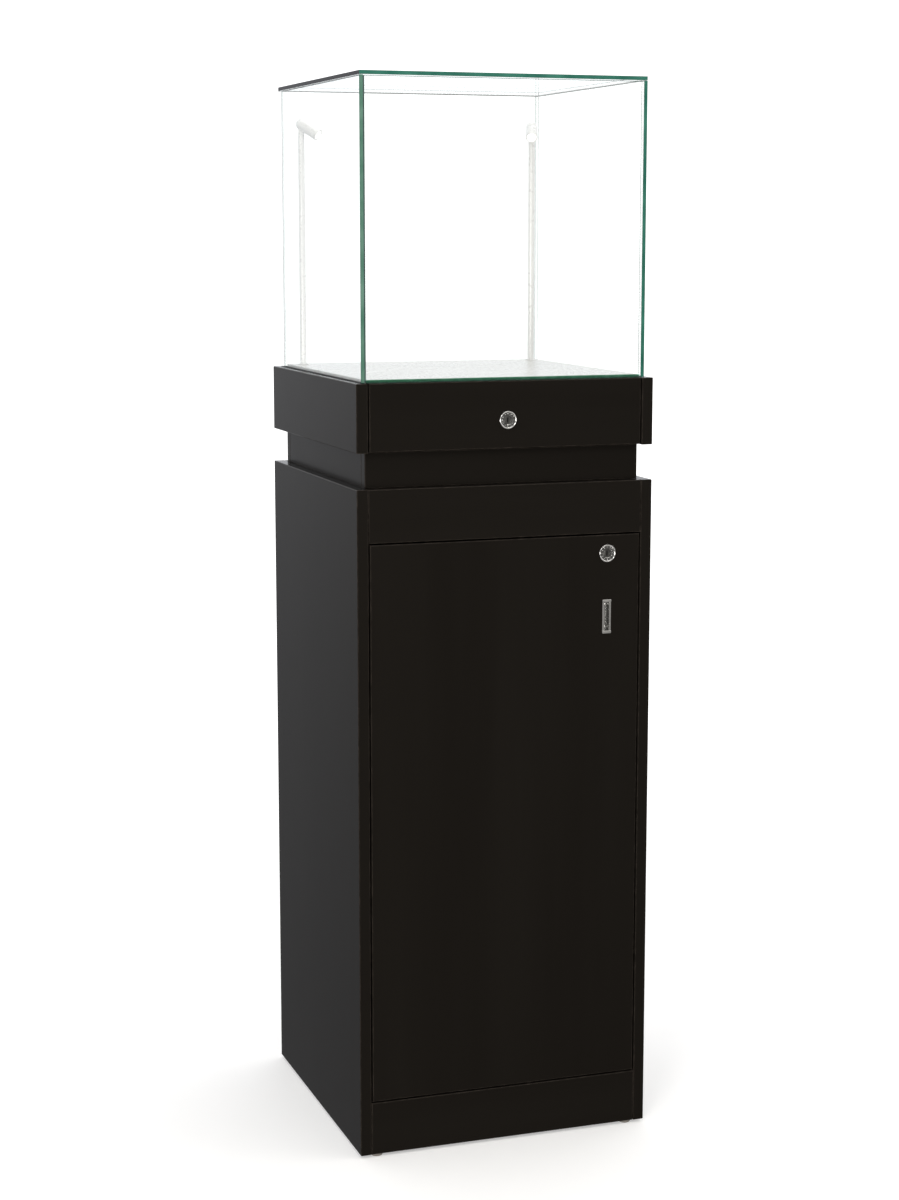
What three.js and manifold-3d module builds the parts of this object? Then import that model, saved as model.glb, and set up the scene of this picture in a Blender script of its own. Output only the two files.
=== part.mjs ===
// Pedestal display case: a locking cupboard, a recessed neck, a shallow upper block with a pull-out
// display deck, and a glass hood. Millimetres, +Z up, front towards -Y, floor at z = 0.
import * as THREE from 'three';
import { mergeVertices } from 'three/addons/utils/BufferGeometryUtils.js';
import Module from 'manifold-3d';

const wasm = await Module();
wasm.setup();

// ---- driving dimensions: case body --------------------------------------------------------------
const body_width = 400;
const body_depth = 400;
const board = 15; // laminated board of every panel
const lower_height = 872;
const neck_height = 45.5;
const neck_inset = 15;
const upper_height = 86.5;
const kick_height = 70;
const rail_height = 68;
const front_gap = 2; // shadow gap round the door and the deck front
const arris = 0.75; // eased edge of the boards
const seam = 0.25; // gap left in every glued or screwed joint
const run_gap = 0.35; // gap between pieces that slide or turn on each other
const pin_gap = 0.15; // gap round the hinge and tilt pins
const stack_gap = 1; // gap under the deck front and over the front pane

// ---- driving dimensions: glass hood -------------------------------------------------------------
const hood_height = 380;
const glass = 5;
const glass_inset = 9;
const pane_side_gap = 1;
const pane_arris = 0.5;

// ---- driving dimensions: display deck and its slides --------------------------------------------
const deck_board = 15;
const deck_proud = 4; // how far the deck stands above the upper block
const deck_side_gap = 1;
const runner_board = 12;
const runner_height = 50;
const runner_rear_gap = 8;
const runner_notch = 12; // depth of the notch under each light
const slide_rear_gap = 18; // between the slides' rear ends and the back of the block
const slide_height = 45;
const slide_drop = 42; // slide centre line below the top of the upper block
const slide_wall = 1.25;
const slide_depth = 12.75; // over all three members
const slide_set_back = 2;
const race_gap = 3.3; // between the flanges of two members, filled by the balls
const balls_per_row = 5;
const ball_sink = 0.25;

// ---- driving dimensions: locks, pull and hinges -------------------------------------------------
const lock_bezel_radius = 11.5;
const lock_bezel_proud = 2.5;
const lock_barrel_radius = 9.3;
const lock_plug_radius = 5.6;
const lock_nut_radius = 13;
const lock_nut_height = 3;
const cam_thickness = 2;
const cam_half_width = 5;
const deck_lock_drop = 49.5; // below the top of the deck front
const deck_cam_reach = 31;
const deck_cam_set_back = 6; // the deck lock's cam sits this much further back than the door's
const door_lock_drop = 24; // below the top of the door
const door_lock_inset = 45; // from the free edge of the door
const door_cam_reach = 35;
const keyway_width = 1.4;
const keyway_height = 7;
const keyway_depth = 6;
const pull_width = 12;
const pull_height = 45;
const pull_proud = 1;
const pull_rim = 2.5;
const pull_depth = 9; // of the tray behind the door's face
const pull_wall = 1.25;
const pull_lip_height = 4; // raised lips across both ends
const pull_lip_width = 12.8;
const pull_lip_proud = 1.75;
const pull_drop = 84.5; // top of the pull below the top of the door
const hinge_end = 100; // hinge centre from either end of the door
const cup_radius = 17.5;
const cup_inset = 22.5; // cup centre from the hinge edge of the door
const cup_depth = 11;
const cup_wall = 2.5;
const cup_flange = 1.5;
const cup_floor = 1.2;
const cup_wing = [14, 60]; // ears that take the two screws of a cup
const arm_pivot = [13.5, 23.5]; // from the door's outer front corner, across and back
const cup_pivot = [26.5, 13];
const arm_nose_radius = 4.2;
const arm_length = 60.5; // behind its pivot
const arm_plate = [52, 15]; // mounting plate on the side panel, along and up
const arm_wing = [13, 54]; // ears that take the two screws of a plate
const arm_plate_thickness = 2.2;
const arm_plate_set_back = 38.5; // plate centre behind the pivot
const pivot_pin_radius = 1.5;

// ---- driving dimensions: shelf, glides, lights, cable outlet ------------------------------------
const shelf_height = 436; // underside of the shelf above the floor
const shelf_set_back = 40;
const shelf_pin_radius = 2.5;
const shelf_pin_length = 8; // of the stub in the panel and of the one under the shelf
const shelf_pin_collar = 0.6;
const shelf_pin_inset = 50;
const shelf_hole_pitch = 32;
const shelf_holes_each_way = 2;
const glide_height = 4;
const glide_radius = 8;
const glide_inset_x = 24;
const glide_inset_y = 9;
const nail_radius = 1.2;
const nail_length = 11;
const light_inset_x = 32; // pole axis from the side of the body
const light_inset_y = 42; // pole axis from the back of the body
const light_axis_height = 326; // tilt axis above the deck
const light_pole_radius = 4.5;
const light_head_radius = 8;
const light_head_length = 38;
const light_blade_length = 15;
const light_blade_half = 3.6;
const light_blade_thickness = 4.4;
const left_light_turn = 45; // from straight ahead, inwards
const right_light_turn = 21;
const light_dip = 30; // heads look down by this angle
const outlet_radius = 4;
const outlet_wall = 1.6;
const outlet_drop = 56; // below the top of the upper block

// ---- levels and faces that follow from the sizes above ------------------------------------------
const half_width = body_width / 2;
const half_depth = body_depth / 2;
const inner_half_width = half_width - board;
const inner_half_depth = half_depth - board;
const lower_base = glide_height;
const lower_top = lower_base + lower_height;
const upper_base = lower_top + neck_height;
const upper_top = upper_base + upper_height;
const upper_floor_top = upper_base + board;
const deck_top = upper_top + deck_proud;
const deck_under = deck_top - deck_board;
const slide_length = body_depth - 2 * board - slide_set_back - slide_rear_gap;
const hood_top = upper_top + hood_height;
const hood_half_width = half_width - glass_inset;
const hood_half_depth = half_depth - glass_inset;
const cupboard_floor = lower_base + kick_height;
const rail_bottom = lower_top - rail_height;
const door_half_width = inner_half_width - front_gap;
const door_bottom = cupboard_floor + front_gap;
const door_top = rail_bottom - front_gap;
const front_back = -half_depth + board; // rear face of door, rail, kick and deck front

// ---- finishes -----------------------------------------------------------------------------------
const finishes = {
  black_laminate: { color: 0x1c1917, roughness: 0.42, metalness: 0 },
  white_laminate: { color: 0xe8e8e6, roughness: 0.12, metalness: 0 },
  float_glass: { color: 0xcfe8dc, roughness: 0.03, metalness: 0, transparent: true, opacity: 0.25 },
  bright_chrome: { color: 0xc8cacb, roughness: 0.12, metalness: 1 },
  plated_steel: { color: 0xa9adb0, roughness: 0.35, metalness: 1 },
  satin_silver: { color: 0xdcdddd, roughness: 0.3, metalness: 0.7 },
  grey_plastic: { color: 0x8f8c84, roughness: 0.6, metalness: 0 },
  black_plastic: { color: 0x171717, roughness: 0.5, metalness: 0 },
};

// ---- geometry helpers ---------------------------------------------------------------------------

// Welds a geometry into one closed shell whose faces point outwards.
function welded(geometry) {
  const plain = geometry.clone();
  for (const name of Object.keys(plain.attributes)) {
    if (name !== 'position') plain.deleteAttribute(name);
  }
  const merged = mergeVertices(plain, 1e-4);
  const corners = merged.index.array;
  const kept = [];
  for (let i = 0; i < corners.length; i += 3) {
    const [a, b, c] = [corners[i], corners[i + 1], corners[i + 2]];
    if (a !== b && b !== c && c !== a) kept.push(a, b, c);
  }
  const position = merged.attributes.position;
  const [p, q, r] = [new THREE.Vector3(), new THREE.Vector3(), new THREE.Vector3()];
  let volume = 0;
  for (let i = 0; i < kept.length; i += 3) {
    p.fromBufferAttribute(position, kept[i]);
    q.fromBufferAttribute(position, kept[i + 1]);
    r.fromBufferAttribute(position, kept[i + 2]);
    volume += p.dot(q.cross(r));
  }
  if (volume < 0) kept.reverse();
  const shell = new THREE.BufferGeometry();
  shell.setAttribute('position', position);
  shell.setIndex(kept);
  return shell;
}

function solid_of(geometry) {
  const shell = welded(geometry);
  const mesh = new wasm.Mesh({
    numProp: 3,
    vertProperties: new Float32Array(shell.attributes.position.array),
    triVerts: new Uint32Array(shell.index.array),
  });
  return new wasm.Manifold(mesh);
}

function geometry_of(solid) {
  const mesh = solid.getMesh();
  const geometry = new THREE.BufferGeometry();
  geometry.setAttribute('position', new THREE.BufferAttribute(mesh.vertProperties, 3));
  geometry.setIndex(new THREE.BufferAttribute(mesh.triVerts, 1));
  return geometry;
}

function joined(first, ...others) {
  return geometry_of(others.reduce((sum, part) => sum.add(solid_of(part)), solid_of(first)));
}

function cut(first, ...tools) {
  return geometry_of(tools.reduce((rest, tool) => rest.subtract(solid_of(tool)), solid_of(first)));
}

function moved(geometry, x, y, z) {
  return geometry.clone().translate(x, y, z);
}

// A block between two limits on each axis.
function block(x, y, z) {
  const box = new THREE.BoxGeometry(x[1] - x[0], y[1] - y[0], z[1] - z[0]);
  return box.translate((x[0] + x[1]) / 2, (y[0] + y[1]) / 2, (z[0] + z[1]) / 2);
}

// A rod along an axis ('x', 'y' or 'z') from one place to another on that axis.
function rod(axis, radius, from, to, centre = [0, 0], sides = 20) {
  const shape = new THREE.CylinderGeometry(radius, radius, to - from, sides);
  const middle = (from + to) / 2;
  if (axis === 'x') return shape.rotateZ(Math.PI / 2).translate(middle, centre[0], centre[1]);
  if (axis === 'y') return shape.translate(centre[0], middle, centre[1]);
  return shape.rotateX(Math.PI / 2).translate(centre[0], centre[1], middle);
}

// A profile of [radius, place along the axis] points, revolved about the y or the z axis.
function turned(axis, profile, sides = 28) {
  const points = profile.map(([radius, along]) => new THREE.Vector2(radius, along));
  const shape = new THREE.LatheGeometry(points, sides);
  return axis === 'z' ? shape.rotateX(Math.PI / 2) : shape;
}

// Adds the first point at the end, so that a ring's profile closes on itself.
function ring(profile) {
  return [...profile, profile[0]];
}

function outline(points) {
  return new THREE.Shape(points.map(([x, y]) => new THREE.Vector2(x, y)));
}

function rounded_outline(width, height, radius) {
  const shape = new THREE.Shape();
  const [w, h] = [width / 2 - radius, height / 2 - radius];
  shape.absarc(w, -h, radius, -Math.PI / 2, 0);
  shape.absarc(w, h, radius, 0, Math.PI / 2);
  shape.absarc(-w, h, radius, Math.PI / 2, Math.PI);
  shape.absarc(-w, -h, radius, Math.PI, 1.5 * Math.PI);
  return shape;
}

function extruded(shape, depth, curve_steps = 6) {
  return new THREE.ExtrudeGeometry(shape, { depth, bevelEnabled: false, curveSegments: curve_steps });
}

// Turns a shape drawn in (y, z) and extruded along x into place.
function stand_in_yz(geometry) {
  const basis = new THREE.Matrix4().makeBasis(
    new THREE.Vector3(0, 1, 0),
    new THREE.Vector3(0, 0, 1),
    new THREE.Vector3(1, 0, 0),
  );
  return geometry.applyMatrix4(basis);
}

// Turns a shape drawn in (x, z) and extruded towards the front into place.
function stand_in_xz(geometry) {
  return geometry.rotateX(Math.PI / 2);
}

// A board or pane with eased edges, centred on the origin; its thinnest side is its thickness.
function eased_slab(size, edge) {
  const thin = size.indexOf(Math.min(...size));
  const [a, b] = [size[(thin + 1) % 3], size[(thin + 2) % 3]];
  const slab = new THREE.ExtrudeGeometry(rectangle(a, b), {
    depth: size[thin] - 2 * edge,
    bevelThickness: edge,
    bevelSize: edge,
    bevelOffset: -edge,
    bevelSegments: 1,
    steps: 1,
  });
  slab.translate(0, 0, edge - size[thin] / 2);
  const axes = [new THREE.Vector3(1, 0, 0), new THREE.Vector3(0, 1, 0), new THREE.Vector3(0, 0, 1)];
  return slab.applyMatrix4(
    new THREE.Matrix4().makeBasis(axes[(thin + 1) % 3], axes[(thin + 2) % 3], axes[thin]),
  );
}

function rectangle(width, height) {
  const [w, h] = [width / 2, height / 2];
  return outline([[-w, -h], [w, -h], [w, h], [-w, h]]);
}

// ---- scene helpers ------------------------------------------------------------------------------
const display_case = new THREE.Group();

function add(group, name, geometry, finish, place = [0, 0, 0]) {
  const mesh = new THREE.Mesh(welded(geometry), new THREE.MeshStandardMaterial(finishes[finish]));
  mesh.name = name;
  mesh.position.set(...place);
  group.add(mesh);
  return mesh;
}

// A slab between limits given in the case's frame, with cutting tools in the same frame.
function add_slab(group, name, x, y, z, finish, edge, tools = []) {
  const centre = [x, y, z].map(([low, high]) => (low + high) / 2);
  const size = [x, y, z].map(([low, high]) => high - low);
  const [cx, cy, cz] = centre;
  const local_tools = tools.map((tool) => moved(tool, -cx, -cy, -cz));
  const slab = eased_slab(size, edge);
  const shape = local_tools.length > 0 ? cut(slab, ...local_tools) : slab;
  return add(group, name, shape, finish, centre);
}

function add_board(group, name, x, y, z, tools = []) {
  return add_slab(group, name, x, y, z, 'black_laminate', arris, tools);
}

const sides = [['left', -1], ['right', 1]];
const ends = [['front', -1], ['rear', 1]];

function span(side, inner, outer) {
  return side < 0 ? [-outer, -inner] : [inner, outer];
}

// ---- lower block: cupboard ----------------------------------------------------------------------
const lower_block = new THREE.Group();
display_case.add(lower_block);
const fixed_half = inner_half_width - seam;
const shelf_pin_rows = [-half_depth + shelf_set_back + shelf_pin_inset, inner_half_depth - shelf_pin_inset];
const shelf_pin_axis = shelf_height - seam - shelf_pin_radius;

function shelf_pin_holes(side) {
  const holes = [];
  const [near, far] = [inner_half_width + shelf_pin_length, inner_half_width - 1];
  for (const y of shelf_pin_rows) {
    for (let step = -shelf_holes_each_way; step <= shelf_holes_each_way; step += 1) {
      const z = shelf_pin_axis + step * shelf_hole_pitch;
      const [from, to] = span(side, far, near);
      holes.push(rod('x', shelf_pin_radius + run_gap, from, to, [y, z], 12));
    }
  }
  return holes;
}

for (const [word, side] of sides) {
  add_board(
    lower_block,
    `${word}_side_panel`,
    span(side, inner_half_width, half_width),
    [-half_depth, half_depth],
    [lower_base, lower_top],
    shelf_pin_holes(side),
  );
}

function glide_nail_holes(end) {
  const y = end * (half_depth - glide_inset_y);
  const x = half_width - glide_inset_x;
  const hole_end = lower_base + nail_length + 1;
  return [-x, x].map((place) => rod('z', nail_radius + run_gap, lower_base - 1, hole_end, [place, y], 12));
}

const full_span = [-fixed_half, fixed_half];
const between_ends = [front_back + seam, inner_half_depth - seam];
const back_span = [inner_half_depth, half_depth];
const front_span = [-half_depth, front_back];
add_board(lower_block, 'back_panel', full_span, back_span, [lower_base, lower_top], glide_nail_holes(1));
const kick_span = [lower_base, cupboard_floor];
add_board(lower_block, 'kick_board', full_span, front_span, kick_span, glide_nail_holes(-1));
add_board(lower_block, 'cupboard_floor', full_span, between_ends, [cupboard_floor - board, cupboard_floor]);
add_board(lower_block, 'front_rail', full_span, front_span, [rail_bottom, lower_top]);
add_board(lower_block, 'lower_top_panel', full_span, between_ends, [lower_top - board, lower_top]);
add_board(
  lower_block,
  'cupboard_shelf',
  [-inner_half_width + 1, inner_half_width - 1],
  [-half_depth + shelf_set_back, inner_half_depth - 1],
  [shelf_height, shelf_height + board],
);

// Shelf pins: a stub in the panel, a collar against it and a stub that carries the shelf.
for (const [word, side] of sides) {
  for (const [end, y] of [['front', shelf_pin_rows[0]], ['rear', shelf_pin_rows[1]]]) {
    const pin = turned('y', [
      [0, -shelf_pin_length + seam],
      [shelf_pin_radius, -shelf_pin_length + seam],
      [shelf_pin_radius, seam],
      [shelf_pin_radius + 1, seam],
      [shelf_pin_radius + 1, seam + shelf_pin_collar],
      [shelf_pin_radius, seam + shelf_pin_collar],
      [shelf_pin_radius, seam + shelf_pin_collar + shelf_pin_length],
      [0, seam + shelf_pin_collar + shelf_pin_length],
    ], 12).rotateZ(side * Math.PI / 2);
    const place = [side * inner_half_width, y, shelf_pin_axis];
    add(lower_block, `shelf_pin_${end}_${word}`, pin, 'plated_steel', place);
  }
}

// Nail-on glides: a flat pad with a bevelled rim and a nail up into the board.
for (const [end, direction] of ends) {
  for (const [word, side] of sides) {
    const glide = turned('z', [
      [0, 0],
      [glide_radius - 1.5, 0],
      [glide_radius, 1.5],
      [glide_radius, glide_height - seam],
      [nail_radius, glide_height - seam],
      [nail_radius, glide_height + nail_length - 1],
      [0, glide_height + nail_length],
    ], 20);
    const place = [side * (half_width - glide_inset_x), direction * (half_depth - glide_inset_y), 0];
    add(lower_block, `glide_${end}_${word}`, glide, 'grey_plastic', place);
  }
}

// ---- neck: a frame of four boards between the blocks --------------------------------------------
const neck = new THREE.Group();
display_case.add(neck);
const neck_half_width = half_width - neck_inset;
const neck_half_depth = half_depth - neck_inset;
const neck_span = [lower_top + seam, upper_base - seam];
for (const [end, direction] of ends) {
  const y = span(direction, neck_half_depth - board, neck_half_depth);
  add_board(neck, `neck_${end}_board`, [-neck_half_width, neck_half_width], y, neck_span);
}
for (const [word, side] of sides) {
  const inner_end = neck_half_depth - board - seam;
  const x = span(side, neck_half_width - board, neck_half_width);
  add_board(neck, `neck_${word}_board`, x, [-inner_end, inner_end], neck_span);
}

// ---- upper block: the box that the deck slides into ---------------------------------------------
const upper_block = new THREE.Group();
display_case.add(upper_block);
const upper_span = [upper_base, upper_top];
const deck_lock_height = upper_top - deck_lock_drop;
const outlet_height = upper_top - outlet_drop;
const outlet_barrel = outlet_radius + outlet_wall;

for (const [word, side] of sides) {
  const x = span(side, inner_half_width, half_width);
  add_board(upper_block, `upper_${word}_panel`, x, [-half_depth, half_depth], upper_span);
}
add_board(upper_block, 'upper_rear_rail', full_span, back_span, upper_span, [
  rod('y', outlet_barrel + run_gap, inner_half_depth - 1, half_depth + 1, [0, outlet_height], 20),
]);

const barrel_end = board + seam + lock_nut_height + seam; // behind the front face
const cam_start = barrel_end + run_gap;

// The deck lock's cam turns down into a slot in the floor of the upper block.
const deck_cam_front = -half_depth + cam_start + deck_cam_set_back;
const cam_slot_depth = deck_lock_height - deck_cam_reach - 2;
const cam_slot = block(
  [-2 * cam_half_width, deck_cam_reach + 2],
  [deck_cam_front - 2, deck_cam_front + cam_thickness + 2],
  [cam_slot_depth, upper_floor_top + 1],
);
add_board(
  upper_block,
  'upper_floor_panel',
  full_span,
  [front_back + 2 * seam, inner_half_depth - seam],
  [upper_base, upper_floor_top],
  [cam_slot],
);

// A bushed hole through the rear rail lets a lead out to the back.
const outlet_flange = 1.5;
const cable_outlet = turned('y', ring([
  [outlet_radius, -board - 1.5],
  [outlet_barrel, -board - 1.5],
  [outlet_barrel, seam],
  [outlet_barrel + 2.5, seam],
  [outlet_barrel + 2.5, seam + outlet_flange - 0.5],
  [outlet_barrel + 2, seam + outlet_flange],
  [outlet_radius, seam + outlet_flange],
]), 20);
add(upper_block, 'cable_outlet_bush', cable_outlet, 'black_plastic', [0, half_depth, outlet_height]);

// ---- glass hood: two sides, a rear and a top fixed to each other --------------------------------
const hood = new THREE.Group();
display_case.add(hood);
const pane_bottom = upper_top + seam;
const pane_top = hood_top - glass;
const pane_span = [pane_bottom, pane_top - seam];

function add_pane(group, name, x, y, z) {
  return add_slab(group, name, x, y, z, 'float_glass', pane_arris);
}

for (const [word, side] of sides) {
  const x = span(side, hood_half_width - glass, hood_half_width);
  add_pane(hood, `glass_${word}_pane`, x, [-hood_half_depth, hood_half_depth], pane_span);
}
const rear_pane_half = hood_half_width - glass - seam;
const rear_pane_y = span(1, hood_half_depth - glass, hood_half_depth);
add_pane(hood, 'glass_rear_pane', [-rear_pane_half, rear_pane_half], rear_pane_y, pane_span);
add_pane(
  hood,
  'glass_top_pane',
  [-hood_half_width, hood_half_width],
  [-hood_half_depth, hood_half_depth],
  [pane_top, hood_top],
);

// ---- telescopic slides: outer, middle and inner member on each side -----------------------------
const slide_centre = upper_top - slide_drop;
const slide_front = front_back + slide_set_back;
const middle_length = slide_length - 20;
const middle_height = slide_height - 2 * slide_wall - 2 * race_gap;
const inner_height = middle_height - 2 * slide_wall - 2 * race_gap;
const slide_lip = 2.25;

// A channel section in (depth from the web, height), open towards +depth, with turned-in lips.
function channel_outline(height, depth) {
  const [h, w] = [height / 2, slide_wall];
  return outline([
    [0, -h],
    [depth, -h],
    [depth, -h + slide_lip],
    [depth - w, -h + slide_lip],
    [depth - w, -h + w],
    [w, -h + w],
    [w, h - w],
    [depth - w, h - w],
    [depth - w, h - slide_lip],
    [depth, h - slide_lip],
    [depth, h],
    [0, h],
  ]);
}

// A channel laid along y from 0, its web at x = 0 and its opening towards +x.
function channel(height, depth, length) {
  return extruded(channel_outline(height, depth), length).rotateX(Math.PI / 2).translate(0, length, 0);
}

function ball_row(radius, x, z, from, to) {
  const balls = [];
  for (let i = 0; i < balls_per_row; i += 1) {
    const y = from + ((to - from) * i) / (balls_per_row - 1);
    balls.push(new THREE.IcosahedronGeometry(radius, 0).translate(x, y, z));
  }
  return balls;
}

// The middle member carries the balls that run in the outer and in the inner member.
const ball_radius = (race_gap - seam - 0.05 + ball_sink) / 2;
function middle_member() {
  const depth = slide_depth - 4;
  const shape = channel(middle_height, depth, middle_length);
  const outer_row = middle_height / 2 + ball_radius - ball_sink;
  const inner_row = middle_height / 2 - slide_wall - ball_radius + ball_sink;
  const balls = [];
  for (const z of [-outer_row, outer_row]) {
    balls.push(...ball_row(ball_radius, depth / 2, z, middle_length / 2, middle_length - 10));
  }
  for (const z of [-inner_row, inner_row]) {
    balls.push(...ball_row(ball_radius, depth / 2 + 1, z, 10, middle_length / 2));
  }
  return joined(shape, ...balls);
}

const middle_shape = middle_member();
const outer_shape = channel(slide_height, slide_depth - 2.5, slide_length);
const inner_shape = channel(inner_height, slide_depth - 5, slide_length).rotateZ(Math.PI);

function add_mirrored(group, name, geometry, finish, side, place) {
  const shape = side < 0 ? geometry : geometry.clone().rotateZ(Math.PI);
  return add(group, name, shape, finish, place);
}

for (const [word, side] of sides) {
  // Members are drawn for the left side; turned half round they serve the right, from the rear end.
  const start = side < 0 ? slide_front : slide_front + slide_length;
  const middle_start = side < 0 ? slide_front : slide_front + middle_length;
  const face = side * (inner_half_width - seam);
  const middle_web = side * (inner_half_width - seam - 2);
  const inner_web = side * (inner_half_width - slide_depth);
  const inner_start = side < 0 ? slide_front + slide_length : slide_front;
  const outer_place = [face, start, slide_centre];
  const inner_place = [inner_web, inner_start, slide_centre];
  add_mirrored(upper_block, `slide_outer_${word}`, outer_shape, 'plated_steel', side, outer_place);
  add_mirrored(
    upper_block,
    `slide_middle_${word}`,
    side < 0 ? middle_shape : middle_shape.clone().scale(1, -1, 1),
    'plated_steel',
    side,
    [middle_web, side < 0 ? middle_start : slide_front, slide_centre],
  );
  add_mirrored(upper_block, `slide_inner_${word}`, inner_shape, 'plated_steel', side, inner_place);
}

// ---- display deck: board, front, pane and runners move together ---------------------------------
const deck = new THREE.Group();
display_case.add(deck);
const deck_half = inner_half_width - deck_side_gap;
const light_x = half_width - light_inset_x;
const light_y = half_depth - light_inset_y;
const spigot_radius = light_pole_radius + 1.7;
const light_nut_radius = spigot_radius + 2.5;
const light_nut_height = 4;
const light_holes = sides.map(([, side]) =>
  rod('z', spigot_radius + run_gap, deck_under - 1, deck_top + 1, [side * light_x, light_y], 24),
);
add_slab(
  deck,
  'display_deck',
  [-deck_half, deck_half],
  [front_back + seam, inner_half_depth - deck_side_gap],
  [deck_under, deck_top],
  'white_laminate',
  arris,
  light_holes,
);

function lock_hole(x, z) {
  return rod('y', lock_barrel_radius + run_gap, -half_depth - 1, front_back + 1, [x, z], 28);
}

add_board(
  deck,
  'deck_front',
  [-door_half_width, door_half_width],
  front_span,
  [upper_base + stack_gap, upper_top],
  [lock_hole(0, deck_lock_height)],
);
const front_pane_half = hood_half_width - glass - pane_side_gap;
add_pane(
  deck,
  'glass_front_pane',
  [-front_pane_half, front_pane_half],
  [-hood_half_depth, -hood_half_depth + glass],
  [pane_bottom, pane_top - stack_gap],
);
const runner_outer = inner_half_width - slide_depth - seam;
const runner_top = deck_under - seam;
for (const [word, side] of sides) {
  // The runner is notched where the light's nut and collar come through the deck.
  const notch = block(
    [-half_width, half_width],
    [light_y - light_nut_radius - 3, light_y + light_nut_radius + 3],
    [runner_top - runner_notch, runner_top + 1],
  );
  add_board(
    deck,
    `deck_runner_${word}`,
    span(side, runner_outer - runner_board, runner_outer),
    [front_back + seam, inner_half_depth - runner_rear_gap],
    [runner_top - runner_height, runner_top],
    [notch],
  );
}

// ---- cam locks ----------------------------------------------------------------------------------
const plug_bore = lock_plug_radius + run_gap;

function lock_housing() {
  const body = turned('y', ring([
    [plug_bore, -0.6],
    [lock_bezel_radius - 3.6, -0.9],
    [lock_bezel_radius - 2.6, -lock_bezel_proud + 0.4],
    [lock_bezel_radius - 1.8, -lock_bezel_proud],
    [lock_bezel_radius - 0.6, -lock_bezel_proud + 0.4],
    [lock_bezel_radius, -lock_bezel_proud + 1.3],
    [lock_bezel_radius, -seam],
    [lock_barrel_radius, -seam],
    [lock_barrel_radius, barrel_end],
    [plug_bore, barrel_end],
  ]), 28);
  const nut_start = board + seam;
  const nut = rod('y', lock_nut_radius, nut_start, nut_start + lock_nut_height, [0, 0], 6);
  const bore = rod('y', plug_bore, nut_start - 1, nut_start + lock_nut_height + 1, [0, 0], 28);
  return joined(body, cut(nut, bore));
}

// The plug with its keyway, and the flat cam on its tail; the cam points along +x.
function lock_plug(reach, set_back) {
  const cam_face = cam_start + set_back;
  const plug = turned('y', [
    [0, -0.2],
    [lock_plug_radius - 0.6, -0.2],
    [lock_plug_radius, 0.4],
    [lock_plug_radius, cam_start],
    [4, cam_start + 0.5],
    [4, cam_face + cam_thickness + 2],
    [3, cam_face + cam_thickness + 3],
    [0, cam_face + cam_thickness + 3],
  ], 20);
  const keyway = block(
    [-keyway_width / 2, keyway_width / 2],
    [-1, keyway_depth],
    [-keyway_height / 2, keyway_height / 2],
  );
  const shape = new THREE.Shape();
  shape.moveTo(0, -cam_half_width - 2);
  shape.lineTo(cam_half_width + 2, -cam_half_width);
  shape.absarc(reach - cam_half_width, 0, cam_half_width, -Math.PI / 2, Math.PI / 2);
  shape.lineTo(cam_half_width + 2, cam_half_width);
  shape.absarc(0, 0, cam_half_width + 2, Math.PI / 2, 1.5 * Math.PI);
  const cam = stand_in_xz(extruded(shape, cam_thickness)).translate(0, cam_face + cam_thickness, 0);
  return joined(cut(plug, keyway), cam);
}

const deck_lock_place = [0, -half_depth, deck_lock_height];
add(deck, 'deck_lock_housing', lock_housing(), 'bright_chrome', deck_lock_place);
add(deck, 'deck_lock_plug', lock_plug(deck_cam_reach, deck_cam_set_back), 'bright_chrome', deck_lock_place);

// ---- light poles: a bush in the deck, a turning pole and a tilting head -------------------------
const flange_top = seam + 1.5;
const nut_top = -deck_board - seam;
const light_bush = turned('z', ring([
  [light_pole_radius + run_gap, nut_top - light_nut_height],
  [light_nut_radius, nut_top - light_nut_height],
  [light_nut_radius, nut_top],
  [spigot_radius, nut_top],
  [spigot_radius, seam],
  [spigot_radius + 1.3, seam],
  [spigot_radius + 1.3, flange_top - 0.4],
  [spigot_radius + 0.7, flange_top],
  [light_pole_radius + run_gap, flange_top],
]), 20);

function pole_shape() {
  const collar_top = nut_top - light_nut_height - run_gap - light_axis_height;
  const shoulder = -light_blade_length;
  const stem = turned('z', [
    [0, collar_top - 4],
    [light_pole_radius + 1.5, collar_top - 4],
    [light_pole_radius + 1.5, collar_top],
    [light_pole_radius, collar_top],
    [light_pole_radius, shoulder - 1.5],
    [light_pole_radius - 0.8, shoulder],
    [0, shoulder],
  ], 20);
  const half = light_blade_thickness / 2;
  const blade = block([-half, half], [-light_blade_half, light_blade_half], [shoulder - 1, 0]);
  const eye = rod('x', light_blade_half, -half, half, [0, 0], 20);
  const hole = rod('x', pivot_pin_radius + pin_gap, -half - 1, half + 1, [0, 0], 16);
  return cut(joined(stem, blade, eye), hole);
}

// The head looks along -y; its tilt axis is the x axis through its domed rear end.
function head_shape() {
  const r = light_head_radius;
  const dome_centre = -1;
  const profile = [];
  const dome_steps = 5;
  for (let i = 0; i <= dome_steps; i += 1) {
    const angle = (Math.PI / 2) * (1 - i / dome_steps);
    profile.push([r * Math.cos(angle), dome_centre + r * Math.sin(angle)]);
  }
  const front = dome_centre + r - light_head_length;
  profile[0][0] = 0;
  profile.push(
    [r, front + 0.6],
    [r - 0.6, front],
    [r - 1.6, front],
    [r - 2, front + 2],
    [0, front + 1],
  );
  const body = turned('y', profile, 20);
  const slot_half = light_blade_thickness / 2 + run_gap;
  const slot = block([-slot_half, slot_half], [-12.5, 5.5], [-r - 2, light_blade_half + 1.2]);
  const pin = rod('x', pivot_pin_radius, -slot_half - 1, slot_half + 1, [0, 0], 16);
  return joined(cut(body, slot), pin);
}

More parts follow.
